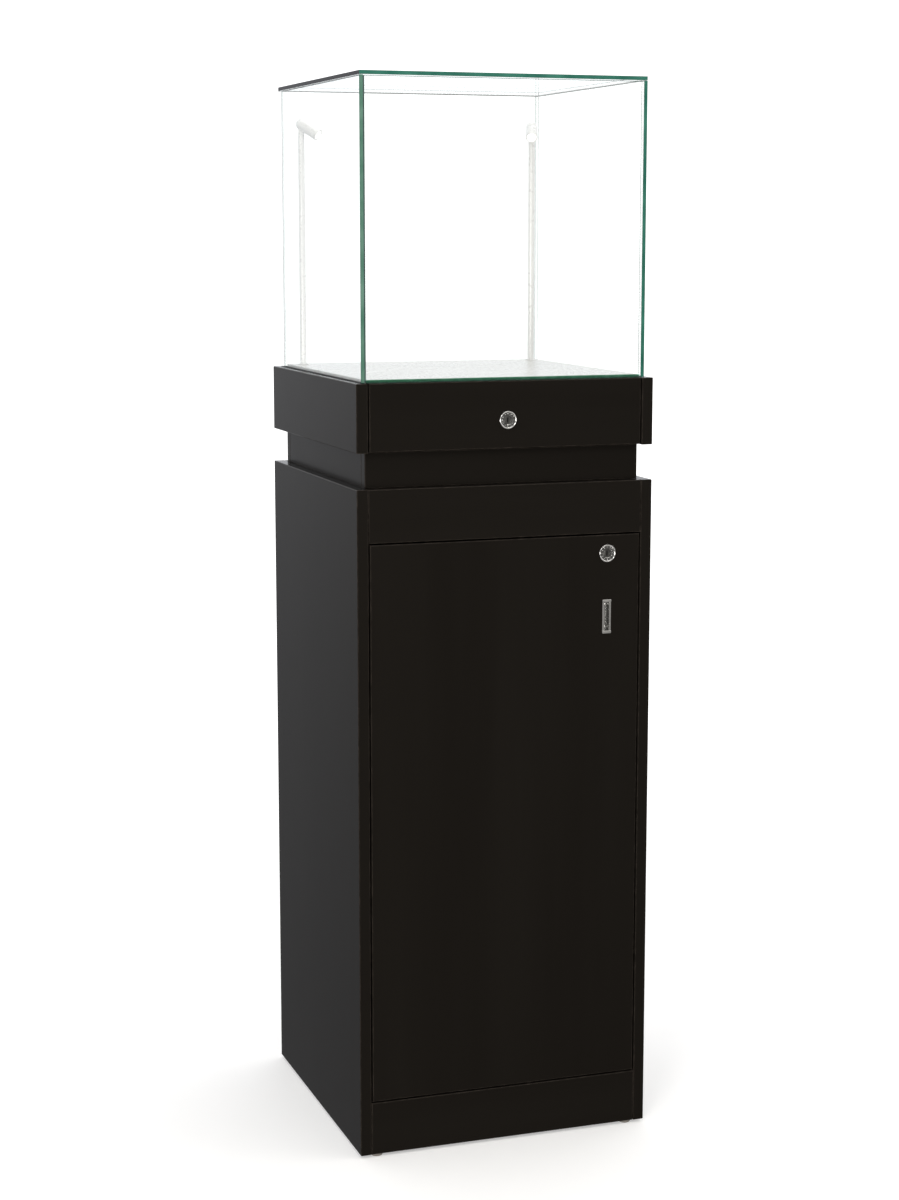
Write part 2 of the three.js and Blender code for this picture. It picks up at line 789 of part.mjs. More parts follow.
const shared_pole = pole_shape();
const shared_head = head_shape();
const light_turns = { left: left_light_turn, right: right_light_turn };
for (const [word, side] of sides) {
  add(deck, `light_bush_${word}`, light_bush, 'satin_silver', [side * light_x, light_y, deck_top]);
  const light = new THREE.Group();
  light.position.set(side * light_x, light_y, deck_top + light_axis_height);
  light.rotation.z = THREE.MathUtils.degToRad(-side * light_turns[word]);
  deck.add(light);
  add(light, `light_pole_${word}`, shared_pole, 'satin_silver');
  const head = add(light, `light_head_${word}`, shared_head, 'satin_silver');
  head.rotation.x = THREE.MathUtils.degToRad(light_dip);
}

// ---- door with its lock, flush pull and hinge cups ----------------------------------------------
const door = new THREE.Group();
display_case.add(door);
const door_lock_x = door_half_width - door_lock_inset;
const door_lock_height = door_top - door_lock_drop;
const pull_centre = door_top - pull_drop - pull_height / 2;
const hinge_heights = [['lower', door_bottom + hinge_end], ['upper', door_top - hinge_end]];
const cup_x = -door_half_width + cup_inset;
const pull_box_width = pull_width - 3;
const pull_box_height = pull_height - 3;

function pull_pocket() {
  const shape = rounded_outline(pull_box_width + 2 * run_gap, pull_box_height + 2 * run_gap, 1.5);
  const depth = pull_depth + run_gap + 1;
  const pocket = stand_in_xz(extruded(shape, depth, 3));
  return pocket.translate(door_lock_x, -half_depth + depth - 1, pull_centre);
}

add_board(
  door,
  'door_panel',
  [-door_half_width, door_half_width],
  front_span,
  [door_bottom, door_top],
  [
    lock_hole(door_lock_x, door_lock_height),
    pull_pocket(),
    ...hinge_heights.map(([, z]) =>
      rod('y', cup_radius + run_gap, front_back - cup_depth - run_gap, front_back + 1, [cup_x, z], 24),
    ),
  ],
);
const door_lock_place = [door_lock_x, -half_depth, door_lock_height];
add(door, 'door_lock_housing', lock_housing(), 'bright_chrome', door_lock_place);
const door_plug = lock_plug(door_cam_reach, 0).rotateY(Math.PI);
add(door, 'door_lock_plug', door_plug, 'bright_chrome', door_lock_place);

// Flush pull: a rim with raised end lips, round a tray let into the door with a hollowed recess.
function flush_pull() {
  const rim_outline = rounded_outline(pull_width, pull_height, 1);
  const rim = stand_in_xz(extruded(rim_outline, pull_proud - seam, 3));
  const tray_outline = rounded_outline(pull_box_width, pull_box_height, 1);
  const tray = stand_in_xz(extruded(tray_outline, pull_depth + 0.5, 3));
  const lip_outline = rounded_outline(pull_lip_width, pull_lip_height, 1.2);
  const lip = stand_in_xz(extruded(lip_outline, pull_lip_proud - seam, 3)).translate(0, -seam, 0);
  const lip_centre = (pull_height - pull_lip_height) / 2;
  const shell = joined(
    rim.translate(0, -seam, 0),
    tray.translate(0, pull_depth, 0),
    moved(lip, 0, 0, -lip_centre),
    moved(lip, 0, 0, lip_centre),
  );
  const recess_radius = pull_width / 2 - pull_rim;
  const recess_half = pull_height / 2 - pull_lip_height;
  const hollow_axis = pull_depth - pull_wall - recess_radius;
  const hollow = rod('z', recess_radius, -recess_half, recess_half, [0, hollow_axis], 16);
  const mouth = block(
    [-recess_radius, recess_radius],
    [-pull_lip_proud - 1, hollow_axis],
    [-recess_half, recess_half],
  );
  return cut(shell, mouth, hollow);
}
add(door, 'flush_pull', flush_pull(), 'bright_chrome', [door_lock_x, -half_depth, pull_centre]);

// Hinge parts are drawn in plan about the door's outer front corner, +x across and +y back.
const [arm_x, arm_y] = arm_pivot;
const [cup_pin_x, cup_pin_y] = cup_pivot;
const elbow = [arm_x + cup_pin_x, arm_y + cup_pin_y];
const pin_hole = pivot_pin_radius + pin_gap;
const cheek_inner = 6.2;
const cheek_outer = 7.8;
const front_link_half = cheek_inner - run_gap;
const fork_half = 3.5;
const rear_link_half = fork_half - run_gap;

function hinge_cup() {
  const back = board + seam + cup_flange;
  const floor = board - cup_depth;
  const bowl = turned('y', [
    [0, floor],
    [cup_radius, floor],
    [cup_radius, board + seam],
    [cup_radius + 1.5, board + seam],
    [cup_radius + 1.5, back],
    [cup_radius - cup_wall, back],
    [cup_radius - cup_wall, floor + cup_floor],
    [0, floor + cup_floor],
  ], 24).translate(cup_inset, 0, 0);
  const wing = stand_in_xz(extruded(rounded_outline(...cup_wing, 6), cup_flange, 5));
  const wing_cut = rod('y', cup_radius - cup_wall / 2, board, back + 1, [cup_inset, 0], 24);
  const pin = rod('z', pivot_pin_radius, -cup_radius + 1.5, cup_radius - 1.5, [cup_pin_x, cup_pin_y], 16);
  return joined(bowl, cut(wing.translate(cup_inset, back, 0), wing_cut), pin);
}

// A bar with round ends between two places in plan, as high as twice its half height.
function link_bar(from, to, half_bar, boss_radius, half_height) {
  const length = Math.hypot(to[0] - from[0], to[1] - from[1]);
  const angle = Math.atan2(to[1] - from[1], to[0] - from[0]);
  const bar = block([0, length], [-half_bar, half_bar], [-half_height, half_height]);
  const bosses = [0, length].map((x) => rod('z', boss_radius, -half_height, half_height, [x, 0], 16));
  const shape = joined(bar, ...bosses);
  return moved(shape.rotateZ(angle), from[0], from[1], 0);
}

function hinge_arm() {
  const plate_face = seam - front_gap;
  const inner_side = plate_face + arm_plate_thickness - 0.2;
  const outer_side = arm_x - 2;
  const rear_end = arm_y + arm_length;
  const nose_tangent = arm_nose_radius - 0.3;
  const body = extruded(
    outline([
      [inner_side, rear_end],
      [inner_side, arm_y + 18.5],
      [arm_x - nose_tangent, arm_y + 1],
      [arm_x + nose_tangent, arm_y + 1],
      [outer_side, arm_y + 20.5],
      [outer_side, rear_end],
    ]),
    2 * cheek_outer,
  ).translate(0, 0, -cheek_outer);
  const nose = rod('z', arm_nose_radius, -cheek_outer, cheek_outer, arm_pivot, 20);
  const fork = block([-1, 2 * arm_x], [arm_y - 6, arm_y + 13], [-cheek_inner, cheek_inner]);
  const inside = [-cheek_inner, cheek_inner];
  const hollow = block([-front_gap, outer_side - 1.5], [arm_y + 6, rear_end - 3], inside);
  const pin = rod('z', pivot_pin_radius, -cheek_outer, cheek_outer, arm_pivot, 16);
  const [plate, wing] = [[arm_plate, 3], [arm_wing, 6]].map(([size, corner]) =>
    stand_in_yz(extruded(rounded_outline(...size, corner), arm_plate_thickness, 4)).translate(
      plate_face,
      arm_y + arm_plate_set_back,
      0,
    ),
  );
  return joined(cut(joined(body, nose), fork, hollow), pin, plate, wing);
}

// The front link turns with the door, because the four pivots form a parallelogram.
function front_link() {
  const bar = link_bar(arm_pivot, elbow, 3, 3.5, front_link_half);
  const hole = rod('z', pin_hole, -10, 10, arm_pivot, 16);
  const angle = Math.atan2(cup_pin_y, cup_pin_x);
  const slot = block([-13, 6], [-6, 6], [-fork_half, fork_half]).rotateZ(angle);
  const pin = rod('z', pivot_pin_radius, -front_link_half + 0.5, front_link_half - 0.5, elbow, 16);
  return joined(cut(bar, hole, moved(slot, elbow[0], elbow[1], 0)), pin);
}

function rear_link() {
  const bar = link_bar(cup_pivot, elbow, 2.2, 3, rear_link_half);
  return cut(bar, ...[cup_pivot, elbow].map((place) => rod('z', pin_hole, -10, 10, place, 16)));
}

const [cup_geometry, arm_geometry] = [hinge_cup(), hinge_arm()];
const [front_link_geometry, rear_link_geometry] = [front_link(), rear_link()];
for (const [word, z] of hinge_heights) {
  const place = [-door_half_width, -half_depth, z];
  add(door, `hinge_cup_${word}`, cup_geometry, 'plated_steel', place);
  add(lower_block, `hinge_arm_${word}`, arm_geometry, 'plated_steel', place);
  add(door, `hinge_front_link_${word}`, front_link_geometry, 'plated_steel', place);
  add(door, `hinge_rear_link_${word}`, rear_link_geometry, 'plated_steel', place);
}

export default display_case;
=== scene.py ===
"""Looks of the pedestal display case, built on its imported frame.

Every length in the dataclasses is in millimetres and is turned into metres where a mesh is made.
The front of the case faces -Y, +Z is up, and the origin lies on the floor under the body.
"""

import logging
import math
from dataclasses import dataclass, field
from enum import Enum
from typing import Any, Iterable, Sequence

import bmesh
import bpy
from mathutils import Matrix, Vector


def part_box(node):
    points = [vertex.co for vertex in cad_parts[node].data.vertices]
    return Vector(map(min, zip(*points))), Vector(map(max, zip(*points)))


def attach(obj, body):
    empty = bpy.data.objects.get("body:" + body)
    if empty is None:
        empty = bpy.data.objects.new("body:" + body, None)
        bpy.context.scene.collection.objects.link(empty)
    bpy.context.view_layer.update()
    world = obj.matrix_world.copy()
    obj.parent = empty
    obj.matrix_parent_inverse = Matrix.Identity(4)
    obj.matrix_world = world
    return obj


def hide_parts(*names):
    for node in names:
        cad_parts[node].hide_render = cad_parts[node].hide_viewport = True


LOG = logging.getLogger("display_case")
MM = 0.001

SEAM = 0.25  # how far a seated face stands off what carries it
DECK_TOP = 1012.0
WHITE = (1.0, 1.0, 1.0, 1.0)

Colour = tuple[float, float, float]
Place = tuple[float, float, float]
Profile = Sequence[tuple[float, float]]
Outline = list[tuple[float, float]]
Node = bpy.types.Node
Socket = bpy.types.NodeSocket
Shell = bmesh.types.BMesh
SIDES = ("left", "right")
LEVELS = ("lower", "upper")


class Facing(Enum):
    """Where a drawing's own +Z points once it is placed; its +X and +Y follow from that."""

    UP = Matrix.Identity(4)
    DOWN = Matrix.Rotation(math.pi, 4, "X")
    FRONT = Matrix.Rotation(math.pi / 2, 4, "X")
    BACK = Matrix.Rotation(math.pi, 4, "Z") @ Matrix.Rotation(math.pi / 2, 4, "X")
    LEFT = Matrix.Rotation(-math.pi / 2, 4, "Z") @ Matrix.Rotation(math.pi / 2, 4, "X")
    RIGHT = Matrix.Rotation(math.pi / 2, 4, "Z") @ Matrix.Rotation(math.pi / 2, 4, "X")


class Grain(Enum):
    """The direction in which a board's fine grain runs, as a stretch of its pattern."""

    UPRIGHT = (1.0, 1.0, 0.07)
    ACROSS = (0.07, 1.0, 1.0)
    BACKWARD = (1.0, 0.07, 1.0)


class Slot(Enum):
    """The record's material slots, one of which each new piece names."""

    NONE = ""
    GLASS = "float_glass"
    CHROME = "bright_chrome"
    STEEL = "plated_steel"
    SILVER = "satin_silver"
    GREY = "grey_plastic"
    BLACK = "black_plastic"


def placed(place: Place, facing: Facing = Facing.UP, turn: float = 0.0) -> Matrix:
    """Gives the matrix that sets a drawing at a place.

    Args:
        place: Where the drawing's origin goes, in millimetres.
        facing: Where the drawing's +Z points.
        turn: A turn about the drawing's own +Z, in degrees.

    Returns:
        A matrix in millimetres.
    """
    return Matrix.Translation(Vector(place)) @ facing.value @ Matrix.Rotation(math.radians(turn), 4, "Z")


def box_mm(node: str) -> tuple[Vector, Vector]:
    """Gives a CAD node's box.

    Args:
        node: The node's name.

    Returns:
        Its lowest and highest corners, in millimetres.
    """
    low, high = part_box(node)
    return low / MM, high / MM


def linked(name: str, data: bpy.types.ID) -> bpy.types.Object:
    """Makes an object in the scene.

    Args:
        name: Its name.
        data: Its mesh, lamp or camera.

    Returns:
        The object.
    """
    thing = bpy.data.objects.new(name, data)
    bpy.context.scene.collection.objects.link(thing)
    return thing


# ---- materials ---------------------------------------------------------------------------------


class Nodes:
    """A node tree, with short calls for what finishes and surroundings share."""

    def __init__(self, tree: bpy.types.NodeTree) -> None:
        """Empties a tree.

        Args:
            tree: The tree.
        """
        self.tree = tree
        self.tree.nodes.clear()

    def add(self, kind: str, inputs: dict[Any, Any] | None = None, **settings: Any) -> Node:
        """Adds a node.

        Args:
            kind: The node's type.
            inputs: Its input sockets' values, or the sockets that feed them.
            **settings: Its own settings.

        Returns:
            The node.
        """
        node = self.tree.nodes.new(kind)
        for key, value in settings.items():
            setattr(node, key, value)
        for socket, value in (inputs or {}).items():
            if isinstance(value, Socket):
                self.tree.links.new(value, node.inputs[socket])
            else:
                node.inputs[socket].default_value = value
        return node

    def spread(
        self, value: Socket, low: float, high: float, at: tuple[float, float] = (0.3, 0.7)
    ) -> Socket:
        """Maps a pattern to a range.

        Args:
            value: The pattern.
            low: What it becomes at the lower end.
            high: What it becomes at the upper end.
            at: The pattern's values at the two ends.

        Returns:
            The socket with the mapped value.
        """
        inputs = {"Value": value, "From Min": at[0], "From Max": at[1], "To Min": low, "To Max": high}
        return self.add("ShaderNodeMapRange", inputs).outputs[0]

    def blend(self, factor: Socket, first: Any, second: Any) -> Socket:
        """Mixes two colours by a pattern.

        Args:
            factor: The pattern, 0 for the first colour and 1 for the second.
            first: A colour or a socket.
            second: A colour or a socket.

        Returns:
            The socket with the mixed colour.
        """
        ends = [(*end, 1.0) if isinstance(end, tuple) else end for end in (first, second)]
        node = self.add("ShaderNodeMix", {0: factor, 6: ends[0], 7: ends[1]}, data_type="RGBA")
        return node.outputs[2]

    def times(self, first: Socket, second: Any) -> Socket:
        """Multiplies two values.

        Args:
            first: A socket.
            second: A number or a socket.

        Returns:
            The socket with the product.
        """
        return self.add("ShaderNodeMath", {0: first, 1: second}, operation="MULTIPLY").outputs[0]

    def mix(self, factor: Socket, first: Node, second: Node) -> Node:
        """Mixes two shaders.

        Args:
            factor: 0 for the first shader and 1 for the second.
            first: A shader's node.
            second: A shader's node.

        Returns:
            The mixed shader's node.
        """
        return self.add("ShaderNodeMixShader", {0: factor, 1: first.outputs[0], 2: second.outputs[0]})


class Graph(Nodes):
    """A material's node tree, with the patterns and relief that the finishes need."""

    def __init__(self, name: str) -> None:
        """Makes the material.

        Args:
            name: Its name.
        """
        self.material = bpy.data.materials.new(name)
        self.material.use_nodes = True
        super().__init__(self.material.node_tree)
        self.output = self.add("ShaderNodeOutputMaterial")
        self.place = self.add("ShaderNodeTexCoord").outputs["Object"]

    def noise(
        self, size: float, detail: float = 3.0, stretch: Place = (1.0, 1.0, 1.0), rough: float = 0.5
    ) -> Socket:
        """Adds a noise pattern.

        Args:
            size: The width of its spots, in millimetres.
            detail: How many finer octaves it has.
            stretch: Its scale along each axis; below 1 draws it out.
            rough: How strong the finer octaves are.

        Returns:
            The socket with its value, about 0 to 1.
        """
        mapped = self.add("ShaderNodeMapping", {"Vector": self.place, "Scale": stretch})
        scale = 1.0 / (size * MM)
        inputs = {"Vector": mapped.outputs[0], "Scale": scale, "Detail": detail, "Roughness": rough}
        return self.add("ShaderNodeTexNoise", inputs).outputs[0]

    def bump(
        self, height: Socket, depth: float, strength: float = 1.0, under: Any = None
    ) -> Socket:
        """Turns a pattern into relief.

        Args:
            height: The pattern.
            depth: Its depth in millimetres.
            strength: How strongly it shows.
            under: The relief that it lies on, if any.

        Returns:
            The socket with the normal.
        """
        inputs = {"Height": height, "Distance": depth * MM, "Strength": strength}
        if under is not None:
            inputs["Normal"] = under
        return self.add("ShaderNodeBump", inputs).outputs[0]

    def edge_mask(self, radius: float) -> Socket:
        """Finds the outer edges of a body.

        Args:
            radius: How far from an edge the mask reaches, in millimetres.

        Returns:
            The socket with the wear, 0 on flat faces.
        """
        rounded = self.add("ShaderNodeBevel", {"Radius": radius * MM}, samples=4).outputs[0]
        straight = self.add("ShaderNodeNewGeometry").outputs["Normal"]
        dot = self.add("ShaderNodeVectorMath", {0: rounded, 1: straight}, operation="DOT_PRODUCT")
        return self.spread(dot.outputs["Value"], 1.0, 0.0, (0.86, 0.995))

    def surface(self, **inputs: Any) -> Node:
        """Ends the tree in a Principled shader.

        Args:
            **inputs: Its sockets, with underscores for spaces; a bare colour has three numbers.

        Returns:
            The shader's node.
        """
        named = {key.replace("_", " "): value for key, value in inputs.items()}
        plain = {key: (*v, 1.0) if isinstance(v, tuple) and len(v) == 3 else v for key, v in named.items()}
        shader = self.add("ShaderNodeBsdfPrincipled", plain)
        self.end(shader)
        return shader

    def end(self, shader: Node) -> None:
        """Ends the tree in a shader, in place of any before it.

        Args:
            shader: The shader's node.
        """
        self.tree.links.new(shader.outputs[0], self.output.inputs["Surface"])


@dataclass(frozen=True)
class Finish:
    """A finish, which makes its material once."""

    name: str

    def draw(self, graph: Graph) -> None:
        """Builds the finish's nodes.

        Args:
            graph: The tree to build them in.
        """
        raise NotImplementedError

    def material(self) -> bpy.types.Material:
        """Gives the finish's material.

        Returns:
            The material, made on the first call.
        """
        found = bpy.data.materials.get(self.name)
        if found is None:
            graph = Graph(self.name)
            self.draw(graph)
            found = graph.material
        return found


@dataclass(frozen=True)
class BlackLaminate(Finish):
    """Near-black melamine-faced board with a fine pressed grain, and edges lightened partly by rubbing and
    partly by a painted highlight.
    """

    grain: Grain = Grain.UPRIGHT
    dark: Colour = (0.0108, 0.0092, 0.0076)
    light: Colour = (0.0140, 0.0122, 0.0102)
    # the edge colour is lighter than rubbing alone: a painted highlight on the arrises
    rubbed_and_lit_edge: Colour = (0.12, 0.10, 0.085)

    def draw(self, graph: Graph) -> None:
        """Builds the pressed grain, the mottling and the lightened edges, which are partly rubbing and partly
        a painted highlight.

        Args:
            graph: The tree to build them in.
        """
        pores = graph.noise(0.9, 4.0, self.grain.value, 0.65)
        pearl = graph.noise(0.28, 2.0)
        cloud = graph.noise(120.0, 4.0, self.grain.value, 0.6)
        body = graph.blend(graph.spread(cloud, 0.0, 1.0), self.dark, self.light)
        fine = graph.blend(graph.spread(pores, 0.0, 0.35), body, self.dark)
        # edge mask in patches: partly rubbing, partly a painted highlight where the arrises catch the light
        edge_band = graph.edge_mask(0.9)
        rub_and_highlight_mask = graph.times(edge_band, graph.spread(graph.noise(9.0), 0.15, 1.0))
        colour = graph.blend(rub_and_highlight_mask, fine, self.rubbed_and_lit_edge)
        relief = graph.bump(pores, 0.02, 0.15)
        graph.surface(
            Base_Color=colour,
            Roughness=graph.spread(graph.noise(35.0, 5.0), 0.20, 0.23),
            IOR=1.10,
            Normal=graph.bump(pearl, 0.006, 0.15, relief),
        )


@dataclass(frozen=True)
class WhiteLaminate(Finish):
    """Glossy white laminate with a faint orange peel and hairline scratches."""

    clean: Colour = (0.745, 0.738, 0.726)
    used: Colour = (0.70, 0.693, 0.68)

    def draw(self, graph: Graph) -> None:
        """Builds the sheet's slight unevenness and its hairlines.

        Args:
            graph: The tree to build them in.
        """
        cloud = graph.spread(graph.noise(60.0, 4.0), 0.0, 1.0)
        hair = graph.noise(0.5, 2.0, (1.0, 0.03, 1.0))
        peel = graph.bump(graph.noise(2.6, 1.0), 0.006, 0.25)
        graph.surface(
            Base_Color=graph.blend(cloud, self.clean, self.used),
            Roughness=graph.spread(hair, 0.24, 0.32),
            IOR=1.22,
            Normal=peel,
        )


@dataclass(frozen=True)
class GlassFace(Finish):
    """The clear faces of float glass, which let light through and mirror more at a slant."""

    tint: Colour = (0.992, 0.998, 0.995)
    # foot: the height up to which a painted green reflection of the bottom edge tints the sheet
    foot: float = 0.0
    foot_reflection_tint: Colour = (0.28, 0.60, 0.47)

    def draw(self, graph: Graph) -> None:
        """Builds a clear sheet with its gloss, a trace of wiping and, if it has one, a painted green
        reflection of its bottom edge along its foot.

        Args:
            graph: The tree to build them in.
        """
        facing = graph.add("ShaderNodeLayerWeight", {"Blend": 0.5}).outputs["Facing"]
        steep = graph.add("ShaderNodeMath", {0: facing, 1: 5.0}, operation="POWER").outputs[0]
        wiped = graph.spread(graph.noise(45.0, 4.0, (1.0, 1.0, 0.35)), 0.0, 0.0015, (0.55, 0.8))
        clear = graph.add("ShaderNodeBsdfTransparent", {"Color": (*self.tint, 1.0)})
        # below the foot, the clear colour turns green in uneven bands: a painted reflection of the bottom
        # edge
        if self.foot:
            height = graph.add("ShaderNodeSeparateXYZ", {0: graph.place}).outputs[2]
            reflection_streaks = graph.spread(graph.noise(9.0, 3.0), 0.75, 1.0, (0.35, 0.5))
            low = graph.spread(height, 1.0, 0.0, ((self.foot - 0.5) * MM, self.foot * MM))
            green = graph.blend(graph.times(low, reflection_streaks), self.tint, self.foot_reflection_tint)
            graph.tree.links.new(green, clear.inputs["Color"])
        gloss = graph.add("ShaderNodeBsdfGlossy", {"Color": (0.97, 0.985, 0.98, 1.0), "Roughness": wiped})
        graph.end(graph.mix(graph.spread(steep, 0.038, 0.45, (0.0, 1.0)), clear, gloss))


@dataclass(frozen=True)
class GlassJoint(GlassFace):
    """A glass edge that is glued to another pane, where the clear glue hides most of it."""

    tint: Colour = (0.90, 0.925, 0.92)


@dataclass(frozen=True)
class GlassEdge(Finish):
    """A polished edge of float glass: green from outside, with painted shade that darkens it at a slant,
    faint through the sheet.
    """

    deep: Colour = (0.022, 0.135, 0.098)
    pale: Colour = (0.060, 0.235, 0.175)
    # slant: the colour of painted shade that the edge takes when seen at a slant
    slant: Colour = (0.014, 0.014, 0.018)
    within: Colour = (0.86, 0.87, 0.87)

    def draw(self, graph: Graph) -> None:
        """Builds the green of the sheet seen edge-on, the painted shade at a slant and the marks of its
        polishing.

        Args:
            graph: The tree to build them in.
        """
        marks = graph.noise(0.8, 3.0)
        green = graph.blend(graph.spread(graph.noise(30.0, 3.0), 0.0, 1.0), self.deep, self.pale)
        facing = graph.add("ShaderNodeLayerWeight", {"Blend": 0.5}).outputs["Facing"]
        # the facing mask darkens the edge at a slant: painted shade
        polished = graph.surface(
            Base_Color=graph.blend(graph.spread(facing, 0.0, 1.0, (0.35, 0.62)), green, self.slant),
            Roughness=graph.spread(marks, 0.05, 0.14),
            IOR=1.12,
            Normal=graph.bump(marks, 0.004, 0.2),
        )
        through = graph.add("ShaderNodeBsdfTransparent", {"Color": (*self.within, 1.0)})
        behind = graph.add("ShaderNodeNewGeometry").outputs["Backfacing"]
        graph.end(graph.mix(behind, polished, through))


@dataclass(frozen=True)
class Metal(Finish):
    """A metal surface with fine working marks and slightly uneven polish."""

    bright: Colour = (0.70, 0.71, 0.71)
    dull: Colour = (0.52, 0.53, 0.54)
    smooth: float = 0.12
    coarse: float = 0.24
    mark_size: float = 0.5
    mark_depth: float = 0.004
    stretch: Place = (1.0, 1.0, 1.0)
    share: float = 1.0

    def draw(self, graph: Graph) -> None:
        """Builds the metal's tone, polish and marks.

        Args:
            graph: The tree to build them in.
        """
        patches = graph.noise(7.0, 4.0)
        marks = graph.noise(self.mark_size, 3.0, self.stretch)
        edge_band = graph.edge_mask(0.35)
        tone = graph.blend(graph.spread(patches, 0.0, 1.0), self.bright, self.dull)
        graph.surface(
            Base_Color=graph.blend(edge_band, tone, self.bright),
            Metallic=self.share,
            Roughness=graph.spread(patches, self.smooth, self.coarse),
            Normal=graph.bump(marks, self.mark_depth, 0.4),
        )


@dataclass(frozen=True)
class Plastic(Finish):
    """A moulded plastic with a fine spark-eroded grain."""

    body: Colour = (0.30, 0.28, 0.25)
    scuffed: Colour = (0.22, 0.20, 0.18)
    smooth: float = 0.42
    coarse: float = 0.6

    def draw(self, graph: Graph) -> None:
        """Builds the moulded skin and its scuffs.

        Args:
            graph: The tree to build them in.
        """
        scuffs = graph.spread(graph.noise(3.0, 5.0), 0.0, 1.0)
        graph.surface(
            Base_Color=graph.blend(scuffs, self.body, self.scuffed),
            Roughness=graph.spread(graph.noise(5.0), self.smooth, self.coarse),
            Normal=graph.bump(graph.noise(0.25, 2.0), 0.01, 0.35),
        )


@dataclass(frozen=True)
class Lens(Finish):
    """A moulded clear lens with a lit diode behind it."""

    body: Colour = (0.92, 0.91, 0.86)
    glow: float = 0.9

    def draw(self, graph: Graph) -> None:
        """Builds the lens and its glow.

        Args:
            graph: The tree to build them in.
        """
        rings = graph.spread(graph.noise(1.2, 2.0), 0.85, 1.0)
        tone = graph.blend(rings, (0.8, 0.79, 0.74), self.body)
        graph.surface(
            Base_Color=tone,
            Roughness=graph.spread(graph.noise(0.6), 0.05, 0.2),
            Emission_Color=tone,
            Emission_Strength=self.glow,
            Normal=graph.bump(graph.noise(1.0), 0.02, 0.3),
        )


class Finishes:
    """Every finish that the case uses."""

    upright = BlackLaminate("Laminate_black_upright")
    across = BlackLaminate("Laminate_black_across", Grain.ACROSS)
    backward = BlackLaminate("Laminate_black_backward", Grain.BACKWARD)
    white = WhiteLaminate("Laminate_white")
    glass_face = GlassFace("Glass_face")
    # the front pane carries the painted green reflection along its foot
    glass_front = GlassFace("Glass_face_front", foot=DECK_TOP)
    glue = Plastic("Glue_bead", (0.16, 0.16, 0.165), (0.10, 0.10, 0.105), 0.2, 0.35)
    glass_edge = GlassEdge("Glass_edge")
    # a lighter copy of the edge colours for the left pane only: painted light
    glass_edge_painted_lighter = GlassEdge("Glass_edge_left_painted_lighter", (0.07, 0.19, 0.135), (0.16, 0.30, 0.235))
    # a darker copy of the edge for the rounded arrises, also darker when seen through the sheet: painted
    # shade
    glass_arris_shaded = GlassEdge("Glass_arris_painted_shade", (0.05, 0.16, 0.12), (0.10, 0.25, 0.20), within=(0.22, 0.23, 0.23))
    chrome = Metal("Chrome_bright", (0.86, 0.86, 0.85), (0.68, 0.68, 0.67), 0.08, 0.18)
    # brush-grained chrome in a darker tone for the pull's trough: painted shade
    brushed_shaded_chrome = Metal(
        "Chrome_brushed_painted_shade", (0.56, 0.56, 0.55), (0.42, 0.42, 0.41), 0.2, 0.34, 0.4, stretch=(1.0, 1.0, 0.1)
    )
    # a darker chrome for the bezel's dimpled face and the recessed plug: painted shade
    shade = Metal("Chrome_painted_shade", (0.20, 0.20, 0.195), (0.11, 0.11, 0.105), 0.25, 0.4)
    steel = Metal("Steel_zinc_plated", (0.56, 0.58, 0.60), (0.40, 0.42, 0.45), 0.22, 0.38, 1.2)
    silver = Metal(
        "Satin_silver", (0.98, 0.98, 0.98), (0.96, 0.96, 0.965), 0.26, 0.32, 0.6, 0.0015, share=0.12
    )
    glass_joint = GlassJoint("Glass_joint")
    grey = Plastic("Plastic_grey")
    black = Plastic("Plastic_black_and_painted_shade", (0.012, 0.012, 0.012), (0.02, 0.02, 0.02))
    lens = Lens("Lens_clear")


def paint(finish: Finish, *names: str) -> None:
    """Gives CAD nodes a finish.

    Args:
        finish: The finish.
        *names: The nodes.
    """
    for name in names:
        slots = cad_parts[name].data.materials
        slots.clear()
        slots.append(finish.material())


# ---- meshes ------------------------------------------------------------------------------------


